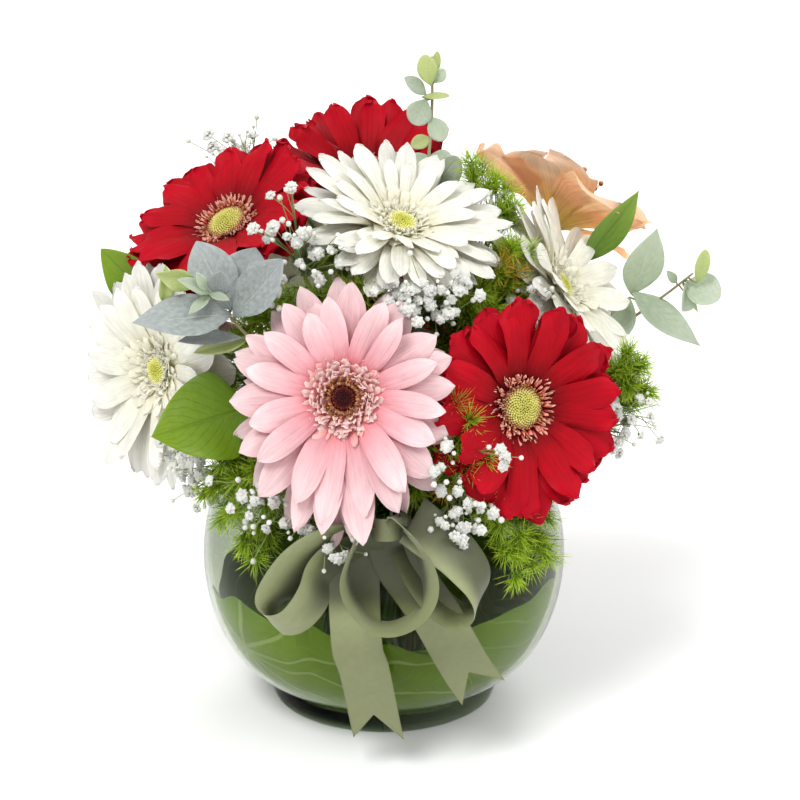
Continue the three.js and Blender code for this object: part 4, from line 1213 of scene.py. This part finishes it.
def make_fern(name, through, ring, azimuth, targets, fill):
    piece = Piece(name, "fern_green")
    rng = piece.rng
    line = stem_line(ring, azimuth, through, count=90)
    add_stem(piece, line, [0, 0.7, 1], [1.0, 0.9, 0.4], 8, "fine_stalk", 0.3)
    upper = line[line[:, 2] > TIE_HEIGHT + 8]
    shoots = [(np.array(target, float), 1.0) for target in targets]
    for _ in range(fill):
        start = upper[rng.integers(2, len(upper))]
        side = unit(rng.normal(0, 1, 3) * [1, 1, 0.8])
        shoots.append((start + side * rng.uniform(*FILL_REACH), FILL_PAINTED_SHADE_LIGHTNESS))
    # Tufts that only fill the space get a lower tone: painted shade.
    for end, painted_lightness in shoots:
        shoot, middle = shoot_from(upper, end, 6, 1.5, rng)
        add_tube(piece, shoot, np.linspace(0.5, 0.25, len(shoot)), 4, "fine_stalk", rng.uniform(0, 1))
        material = "fern_rust" if painted_lightness == 1.0 and rng.uniform() < RUSTY_SHARE else "fern"
        add_tuft(piece, end, unit(end - middle), material, painted_lightness * rng.uniform(0.6, 1.0), TIP_TUFT)
        for step in SIDE_STEPS:
            off = rng.normal(0, 2.2, 3)
            way = unit(end - middle + off * 0.3)
            add_tuft(piece, shoot[step] + off, way, "fern", painted_lightness * rng.uniform(0.35, 0.9), SIDE_TUFT)
    piece.make()


# ---------------------------------------------------------------- gypsophila

# A baby's-breath spray's stem, ring and azimuth at the tie, and where its clusters of flowers are.
GYPSOPHILA = {
    "gypsophila_top_left": ([(-36, -30, 226), (-43, -39, 257)], "inner", 170, [
        (-44, -40, 284), (-46, -50, 262), (-41, -54, 259), (-54, -46, 262), (-31, -54, 255), (-37, -50, 263),
        (-25, -56, 257), (-51, -62, 238), (-21, -58, 251), (-40, -54, 250), (-30, -60, 243)]),
    "gypsophila_top": ([(18, -38, 214), (24, -48, 232)], "inner", 250, [
        (11, -66, 240), (20, -66, 243), (28, -66, 240), (33, -66, 235), (23, -68, 233), (14, -70, 230),
        (35, -66, 229), (40, -62, 242), (6, -68, 244), (3, -70, 235), (17, -70, 236), (28, -68, 226)]),
    "gypsophila_front_right": ([(31, -54, 161), (35, -92, 129)], "outer", 259, [
        (31, -98, 172), (28, -100, 162), (28, -100, 151), (36, -98, 149), (41, -98, 143), (47, -98, 140),
        (34, -100, 138), (39, -100, 131), (53, -96, 137), (28, -100, 134), (45, -98, 130), (58, -108, 170)]),
    "gypsophila_front_left": ([(-30, -56, 159), (-46, -88, 136)], "outer", 204, [
        (-67, -92, 144), (-58, -92, 149), (-52, -94, 142), (-37, -96, 135), (-35, -98, 128), (-40, -98, 119),
        (-64, -92, 134), (-26, -108, 124), (-18, -110, 121), (-47, -96, 132), (-56, -94, 128)]),
    "gypsophila_left": ([(-58, -22, 162), (-88, -46, 126)], "outer", 176, [
        (-101, -50, 141), (-94, -52, 137), (-106, -46, 147), (-89, -56, 131), (-84, -58, 141),
        (-97, -50, 130), (-90, -60, 150)]),
    "gypsophila_right": ([(88, -22, 156), (124, -32, 154)], "outer", 309, [
        (117, -34, 169), (125, -32, 161), (129, -30, 172), (134, -30, 162), (121, -34, 155),
        (112, -38, 150)]),
    "gypsophila_top_back": ([(-58, 66, 236), (-76, 80, 276)], "inner", 108, [
        (-82, 72, 282), (-78, 74, 276), (-85, 70, 276), (-70, 84, 280), (-74, 90, 272), (-66, 76, 268),
        (-88, 84, 266)]),
    "gypsophila_back_left": ([(-60, 88, 168), (-76, 118, 160)], "outer", 88, [
        (-76, 122, 160), (-68, 126, 166), (-84, 116, 168), (-90, 112, 156), (-70, 118, 150), (-60, 122, 156),
        (-80, 108, 176)]),
    "gypsophila_back_right": ([(84, 52, 168), (114, 80, 186)], "outer", 8, [
        (114, 80, 190), (122, 74, 184), (106, 88, 192), (112, 90, 180), (124, 84, 176), (64, -24, 222),
        (70, -22, 227), (66, -24, 214), (80, -24, 225), (76, -24, 216)]),
}

# Each cluster's twig forks into this many stalks, which end in a bud or a flower some way off.
FORKS = 4
CLUSTER_SPREAD = [5.5, 4.0, 5.0]
BUD_SHARE = 0.68

# The smallest and largest blossoms and buds, the blossoms' turn in radians, how they lean out to the
# front and up, and the size of the green cup under one as shares of its own.
BLOSSOM_SIZES, BUD_SIZES = (5.2, 8.4), (1.8, 3.4)
BLOSSOM_SPIN = 6.28
LEAN_OUT = [0, -0.5, 0.4]
BLOSSOM_CALYX = [0.3, 0.3, 0.34]


def blossom_template(rng):
    """A tiny double flower on +Z about one unit across: three tiers of ruffled petals."""
    # How many, where they start and end, width, rise and height.
    tiers = ((7, 0.06, 0.52, 0.36, 8, 0.0), (6, 0.05, 0.44, 0.34, 34, 0.1), (5, 0.03, 0.32, 0.3, 62, 0.16))
    flower = Piece("blossom", "gypsophila_white")
    for count, start, reach, width, lift, height in tiers:
        grids, v = petal_grids(rng, count, start, reach, width, lift, 8, height, (5, 5), belly=0.4, point=0.7,
                               blunt=3.0, sharp=0.5, teeth=0.1, wave=0.06, jitter=1.4, channel=0.0)
        add_sheets(flower, grids, v, "gypsophila", 0.5, 0.03)
    faces = np.concatenate([group for group, material in flower.face_groups()])
    return flower.column("points"), [faces], flower.column("along"), flower.column("across")


BLOSSOM = blossom_template(np.random.default_rng(11))


def make_gypsophila(name, through, ring, azimuth, targets):
    piece = Piece(name, "gypsophila_white")
    rng = piece.rng
    line = stem_line(ring, azimuth, through, count=70)
    add_stem(piece, line, [0, 0.8, 1], [0.9, 0.7, 0.35], 6, "fine_stalk", 0.5)
    upper = line[line[:, 2] > TIE_HEIGHT - 20][8:]
    flowers, buds = [], []
    for target in np.array(targets, float):
        twig, middle = shoot_from(upper, target, 5, 1.0, rng)
        add_tube(piece, twig, np.linspace(0.42, 0.28, len(twig)), 6, "fine_stalk", rng.uniform(0, 1))
        flowers.append((target, unit(target - middle)))
        for _ in range(FORKS):
            fork = twig[rng.integers(3, 8)]
            end = target + rng.normal(0, 1, 3) * CLUSTER_SPREAD
            stalk = curve_through([fork, (fork + end) / 2 + rng.normal(0, 0.6, 3), end], 5)
            add_tube(piece, stalk, 0.22, 4, "fine_stalk", rng.uniform(0, 1))
            (buds if rng.uniform() < BUD_SHARE else flowers).append((end, unit(end - fork)))
    heads, ways = (np.array(column) for column in zip(*flowers))
    ways = unit(ways + LEAN_OUT)
    count = len(heads)
    sizes = rng.uniform(*BLOSSOM_SIZES, (count, 1)) * np.ones(3)
    axes = frames_along(ways, rng.uniform(0, BLOSSOM_SPIN, count))
    add_copies(piece, BLOSSOM, heads, axes, sizes, "gypsophila", rng.uniform(0, 1, count))
    add_copies(piece, BUD, heads - ways, axes, sizes * BLOSSOM_CALYX, "fine_stalk", 0.6)
    ends, ways = (np.array(column) for column in zip(*buds))
    count = len(ends)
    sizes = rng.uniform(*BUD_SIZES, (count, 1)) * np.ones(3)
    axes = frames_along(ways, np.zeros(count))
    add_copies(piece, BUD, ends, axes, sizes, "gypsophila", rng.uniform(0, 1, count))
    piece.make()


# ---------------------------------------------------------------- vase, lining and tie

# The bowl is part of a ball: its radius, the height of its middle and its wall. The wall starts
# WALL_START above the foot outside and above the base inside, and ends where the rim's roll begins.
BOWL_RADIUS, BOWL_HEIGHT, BOWL_WALL = 95.0, 77.7, 2.0
FOOT_RADIUS, FOOT_HEIGHT, BASE_THICKNESS = 59.5, 4.5, 7.0
RIM_HEIGHT, RIM_ROLL = 151.0, 1.9
WALL_START, WALL_TOP = 5, RIM_HEIGHT - 0.5
WALL_ROWS, VASE_SIDES = 44, 144

# The foot's edge, as points out from its radius and their heights, and the bowl's floor, as shares of
# the foot's radius and how far each point rises over the base.
FOOT_EDGE = [(-1.4, 0), (-0.4, 0.35), (0, 1.3), (0.3, 4.2), (0.5, 7.0), (0.3, 8.2)]
FLOOR_RISE = [(0.86, 1.2), (0.72, 0.3), (0.4, 0), (0, 0)]

# Under the neck's height the bowl is drawn in, most at the foot.
NECK_HEIGHT, NECK_LENGTH, DRAWN_IN = 34, 23, 7.0


def bowl_wall(radius, low):
    """The bowl's profile from a height up to its rim, on a ball of a radius."""
    angles = np.arcsin((np.array([low, WALL_TOP]) - BOWL_HEIGHT) / radius)
    arc = [(radius * math.cos(a), BOWL_HEIGHT + radius * math.sin(a))
           for a in np.linspace(*angles, WALL_ROWS)]
    return [(r - drawn_in(z), z) for r, z in arc]


def drawn_in(height):
    """How far the bowl is drawn in towards its foot, at a height."""
    return DRAWN_IN * np.clip((NECK_HEIGHT - height) / NECK_LENGTH, 0, 1) ** 2


def make_vase():
    """One turned body: up the outside of the bowl, over its rim, and down its inside to the floor."""
    outside = bowl_wall(BOWL_RADIUS, FOOT_HEIGHT + WALL_START)
    inside = bowl_wall(BOWL_RADIUS - BOWL_WALL, BASE_THICKNESS + WALL_START)[::-1]
    centre = (outside[-1][0] + inside[0][0]) / 2
    half = (outside[-1][0] - inside[0][0]) / 2
    turn = np.linspace(0.2, math.pi - 0.2, 7)
    rim = [(centre + half * math.cos(a), WALL_TOP + RIM_ROLL * math.sin(a)) for a in turn]
    foot = [(0, 0), (20, 0), (45, 0)]
    foot += [(FOOT_RADIUS + out, height) for out, height in FOOT_EDGE]
    floor = [(inside[-1][0] - 1.2, BASE_THICKNESS + 3.2)]
    floor += [(FOOT_RADIUS * share, BASE_THICKNESS + rise) for share, rise in FLOOR_RISE]
    piece = Piece("glass_vase", "vase_glass")
    add_turned(piece, foot + outside + rim + inside + floor, VASE_SIDES, "glass", 0.5)
    piece.make()


# The leaves that line the bowl: radius on which each lies, its material, then the azimuths along it
# with the height of its top edge at each. All reach down over the bowl's floor.
LININGS = {
    "lining_leaf_front": (92.4, "lining_fan", [
        (-52, 40), (-68, 56), (-84, 62), (-98, 66), (-112, 71), (-126, 70), (-142, 73), (-158, 68),
        (-174, 60), (-190, 46)]),
    "lining_leaf_right": (91.5, "lining_leaf", [
        (66, 40), (48, 56), (30, 64), (10, 66), (-10, 70), (-30, 74), (-48, 72), (-64, 66), (-82, 60),
        (-100, 52), (-118, 36)]),
    "lining_leaf_left": (90.6, "lining_leaf", [
        (204, 44), (186, 56), (168, 60), (150, 66), (130, 74), (110, 80), (88, 84), (66, 80), (48, 66),
        (34, 46)]),
}
LINING_FLOOR, LINING_THICKNESS = 9.5, 0.5
LINING_ROWS, LINING_COLUMNS = 61, 25

# Each end of a lining leaf narrows over this share of its length.
LINING_TAPER = 0.09


def make_lining_leaf(name, radius, material, edge):
    """A broad leaf pressed against the inside of the glass, its edge tucked over the bowl's floor."""
    piece = Piece(name, "lining_leaf")
    v = along_steps(LINING_ROWS, 1.0)
    u = across_steps(LINING_COLUMNS)
    places = np.linspace(0, 1, len(edge))
    azimuth = np.radians(np.interp(v, places, [a for a, height in edge]))
    outline = curve_through([(0, p * 100, height) for p, (a, height) in zip(places, edge)], 200)
    top = np.interp(v * 100, outline[:, 1], outline[:, 2]) + 1.6 * np.sin(v * 31) + 0.8 * np.sin(v * 57)

    # Each row runs over the ball between two distances from its lowest point, closer at the ends.
    ends = np.clip(np.minimum(v, 1 - v) / LINING_TAPER, 0.03, 1) ** 0.6
    reach = radius * (np.arcsin((top - BOWL_HEIGHT) / radius) + math.pi / 2)
    low = 52 - 12 * np.sin(v * math.pi) - 2.5 * np.sin(v * 23)
    travel = ((reach + low) / 2)[:, None] + ((reach - low) / 2 * ends)[:, None] * u[None, :]
    slope = np.maximum(travel, 18) / radius - math.pi / 2

    # The blade waves in and out a little, and lies on the bowl's floor where it would sink below it.
    bulge = radius + 0.2 * np.sin(v * 17)[:, None] * np.cos(u * 4)[None, :]
    height = np.maximum(BOWL_HEIGHT + bulge * np.sin(slope), LINING_FLOOR)
    flat = bulge * np.cos(slope) - drawn_in(height)
    grid = np.stack([flat * np.cos(azimuth)[:, None], flat * np.sin(azimuth)[:, None], height], axis=-1)
    add_sheets(piece, grid[None], v, material, piece.rng.uniform(0, 1), LINING_THICKNESS)
    piece.make()


TIE_RADIUS = 28.2
STRANDS, STRAND_GAP, STRAND_RADIUS = 7, 1.4, 0.9


def make_tie():
    """Raffia wound round the stems: strands that lie side by side, and two loose ends."""
    piece = Piece("stem_tie", "tie_raffia")
    rng = piece.rng
    turns = np.linspace(0, FULL_TURN, 97)
    for strand in range(STRANDS):
        height = TIE_HEIGHT - 8.2 + STRAND_GAP * strand
        radius = TIE_RADIUS + 0.25 * rng.normal() + 0.2 * np.sin(turns * 3 + strand)
        rise = height + 0.35 * np.sin(turns * 2 + strand * 2)
        path = np.column_stack([radius * np.cos(turns), radius * np.sin(turns), rise])
        radii = STRAND_RADIUS + 0.08 * np.sin(turns * 9 + strand)
        add_tube(piece, path, radii, 8, "raffia", rng.uniform(0, 1), 0.7)
    start = np.array([29.0, 0, TIE_HEIGHT - 4])
    for end in (-1, 1):
        steps = ([0, 0, 0], [1, end * 4, 1], [1.4, end * 7, -6], [0.8, end * 9, -15])
        path = curve_through([start + step for step in steps], 14)
        add_tube(piece, path, np.linspace(STRAND_RADIUS, 0.5, len(path)), 8, "raffia", 0.3 + 0.3 * end, 0.6)
    piece.make()


# ---------------------------------------------------------------- ribbon bow

# The ribbon arches a little across its width, by RIBBON_ARCH in its middle.
RIBBON_WIDTH, RIBBON_THICKNESS = 25.0, 0.3
RIBBON_ARCH = 0.5
RIBBON_COLUMNS = 9
NOTCH_DEPTH = 13.0

# Each strip of the bow: rows, whether its end is cut to a swallowtail, and points of its front edge,
# x, y and z, with the direction of its width at each.
BOW_STRIPS = {
    "ring": (81, False, [
        (2, -106, 134, 0.1, 0.6, -0.5), (3, -115, 142.5, 0.1, 0.85, -0.4),
        (10.5, -120.5, 139, -0.1, 0.93, -0.3), (18, -121.6, 131, -0.28, 0.93, -0.2),
        (24, -121.8, 122, -0.36, 0.93, -0.14), (27, -121.8, 112, -0.36, 0.93, -0.12),
        (26.4, -121.8, 102, -0.34, 0.93, -0.12), (22, -121.8, 93, -0.26, 0.95, -0.11),
        (14, -121.8, 86, -0.12, 0.98, -0.1), (4, -121.8, 82.8, -0.04, 0.99, -0.1),
        (-5, -121.8, 84.5, 0.06, 0.99, -0.1), (-13, -121.8, 92, 0.14, 0.98, -0.09),
        (-18.5, -121.8, 101, 0.18, 0.98, -0.08), (-20.3, -121.8, 110, 0.18, 0.98, -0.08),
        (-18, -121.6, 120, 0.16, 0.96, -0.14), (-14.5, -118.5, 128, 0.14, 0.94, -0.25),
        (-10, -111, 134, 0.1, 0.85, -0.4), (-2, -105, 133, 0.1, 0.6, -0.5)]),
    "left": (81, False, [
        (2, -102, 133, 0.2, 0.4, -0.8), (-12, -105, 135, 0.45, 0.5, -0.7),
        (-26, -111, 136, 0.6, 0.55, -0.55), (-38, -115, 132, 0.66, 0.56, -0.5),
        (-48.2, -116, 124, 0.66, 0.56, -0.5), (-57, -116, 111.5, 0.66, 0.56, -0.5),
        (-61, -116, 102, 0.64, 0.56, -0.52), (-60.3, -116, 95.5, 0.6, 0.6, -0.54),
        (-56.4, -116, 92, 0.5, 0.64, -0.6), (-50, -115.5, 92.7, 0.45, 0.6, -0.66),
        (-44.7, -115, 98, 0.45, 0.55, -0.7), (-40, -114, 106, 0.42, 0.5, -0.72),
        (-36, -112, 117, 0.36, 0.5, -0.75), (-28, -109, 125, 0.3, 0.45, -0.8),
        (-15, -104.5, 129, 0.2, 0.4, -0.85), (0, -101.5, 130, 0.1, 0.3, -0.9)]),
    "right": (73, False, [
        (8, -106, 126, 0.3, 0.5, 0.75), (18, -111, 120, 0.42, 0.6, 0.62),
        (27.2, -112, 113.9, 0.46, 0.62, 0.58), (34.9, -112.5, 106.6, 0.46, 0.7, 0.5),
        (40.7, -112.8, 100.3, 0.4, 0.8, 0.4), (44, -113, 93.5, 0.3, 0.9, 0.25),
        (43.9, -113, 87.5, 0.1, 0.98, 0.1), (40, -113, 83.5, 0.1, 0.97, 0.12),
        (34.1, -112.5, 82.4, 0.14, 0.95, 0.24), (26, -111.5, 86, 0.22, 0.92, 0.3),
        (18, -109.5, 94, 0.28, 0.88, 0.36), (10, -107, 106, 0.3, 0.8, 0.45),
        (5, -104.5, 118, 0.3, 0.7, 0.5)]),
    "left_tail": (65, True, [
        (-12, -99.5, 132, 0.9, 0.1, 0.1), (-22, -99, 124, 0.97, 0.06, 0.04),
        (-25.8, -99, 112, 0.99, 0.03, 0.02), (-26.2, -99.4, 93, 1, 0, 0),
        (-25.7, -100.2, 77, 1, 0, -0.02), (-24.4, -101, 63, 0.99, 0.02, -0.06),
        (-21.4, -101.5, 54, 0.98, -0.04, -0.12), (-18.6, -101.2, 40, 0.96, -0.03, -0.24),
        (-14.6, -102, 19.2, 0.94, -0.02, -0.34)]),
    "right_tail": (57, True, [
        (-8, -99, 124, 0.85, 0.1, 0.4), (-4, -99, 108, 0.86, 0.05, 0.46), (8.6, -99, 88, 0.86, 0, 0.5),
        (16.4, -99.4, 76, 0.86, 0, 0.5), (23.5, -100, 62.5, 0.86, -0.02, 0.5),
        (31.6, -101, 48.2, 0.86, -0.02, 0.5), (39.2, -102, 37, 0.84, -0.02, 0.53)]),
}

# The knot is a strip too: its points seen from above, at one height. It is drawn narrower and lower,
# and KNOT_SHARE of its length counts towards the ribbon's.
KNOT_HEIGHT = 123
KNOT = [(x, y, KNOT_HEIGHT, 0, 0.1, 1) for x, y in (
    (-3, -101), (-5, -105), (-1, -108.5), (5, -108.5), (9, -105), (8, -101))]
KNOT_ROWS, KNOT_GATHER, KNOT_DROP, KNOT_SHARE = 25, 0.45, 3, 0.5


def ribbon_grid(edge, rows):
    """A strip of ribbon from its front edge and the direction of its width at points along it.

    Returns the strip, the rows' places and its length.
    """
    corners, widths = np.split(np.array(edge, float), 2, axis=1)
    widths = unit(widths)
    v = np.concatenate([[0, 0.004], np.linspace(0, 1, rows - 2)[1:-1], [0.996, 1]])
    steps = np.concatenate([[0], np.cumsum(np.linalg.norm(np.diff(corners, axis=0), axis=1))])
    fine = curve_through(corners, 400)
    front = np.stack([np.interp(v, np.linspace(0, 1, 400), fine[:, k]) for k in range(3)], axis=1)
    across = np.stack([np.interp(v * steps[-1], steps, widths[:, k]) for k in range(3)], axis=1)
    padded = np.concatenate([np.repeat(across[:1], 3, axis=0), across, np.repeat(across[-1:], 3, axis=0)])
    across = sum(padded[k:k + len(v)] for k in range(7)) / 7
    tangent = unit(np.gradient(front, axis=0))
    across = unit(across - tangent * 0.6 * np.sum(across * tangent, axis=1, keepdims=True))
    normal = unit(np.cross(across, tangent))
    share = (across_steps(RIBBON_COLUMNS) + 1) / 2
    offset = across[:, None] * (share * RIBBON_WIDTH)[None, :, None]
    bulge = normal[:, None] * (RIBBON_ARCH * 4 * share * (1 - share))[None, :, None]
    return (front[:, None] + offset + bulge)[None], v, steps[-1]


def cut_notch(grid, v):
    """Cuts a strip's end to a swallowtail by sliding its last rows back in the middle."""
    u = across_steps(RIBBON_COLUMNS)
    share = np.clip((v - 0.72) / 0.28, 0, 1)
    way = unit(grid[:, -1:] - grid[:, -6:-5])
    slide = NOTCH_DEPTH * (np.abs(u) - 1)[None, None, :, None] * share[None, :, None, None]
    return grid + way * slide


def make_bow():
    piece = Piece("ribbon_bow", "ribbon_satin")
    for rows, notch, edge in BOW_STRIPS.values():
        grid, v, length = ribbon_grid(edge, rows)
        if notch:
            grid = cut_notch(grid, v)
        add_sheets(piece, grid, v, "ribbon", 0.5, RIBBON_THICKNESS)
    grid, v, length = ribbon_grid(KNOT, KNOT_ROWS)
    middle = grid.mean(axis=2, keepdims=True)
    gathered = middle + (grid - middle) * KNOT_GATHER - UP * KNOT_DROP
    add_sheets(piece, gathered, v, "ribbon", 0.5, RIBBON_THICKNESS)
    bow = piece.make()


# The wire runs from the knot over the rim and down among the stems.
WIRE_POINTS = [(4, -101, 132), (5, -89, 150), (6, -70, 161), (6, -54, 162), (6, -42, 150), (6, -36, 132)]
WIRE_RADIUS = 0.8


def make_wire():
    piece = Piece("bow_wire", "wire_green")
    add_tube(piece, curve_through(WIRE_POINTS, 60), WIRE_RADIUS, 10, "wire", 0.5)
    piece.make()


# ---------------------------------------------------------------- assembly


def make_floor():
    mesh = bpy.data.meshes.new("studio_floor")
    corners = [(x * FLOOR_REACH, y * FLOOR_REACH, 0) for x, y in ((-1, -1), (1, -1), (1, 1), (-1, 1))]
    mesh.from_pydata(corners, [], [(0, 1, 2, 3)])
    mesh.materials.append(floor_material())
    add_object("studio_floor", mesh)


def make_all(maker, table):
    for name, values in table.items():
        maker(name, *values)


add_camera()
add_lamps()
add_sky()
make_floor()
make_vase()
make_all(make_lining_leaf, LININGS)
make_tie()
make_all(make_gerbera, GERBERAS)
make_peach()
make_all(make_broad_leaf, BROAD_LEAVES)
make_all(make_eucalyptus, EUCALYPTUS)
make_all(make_fern, FERNS)
make_all(make_gypsophila, GYPSOPHILA)
make_bow()
make_wire()
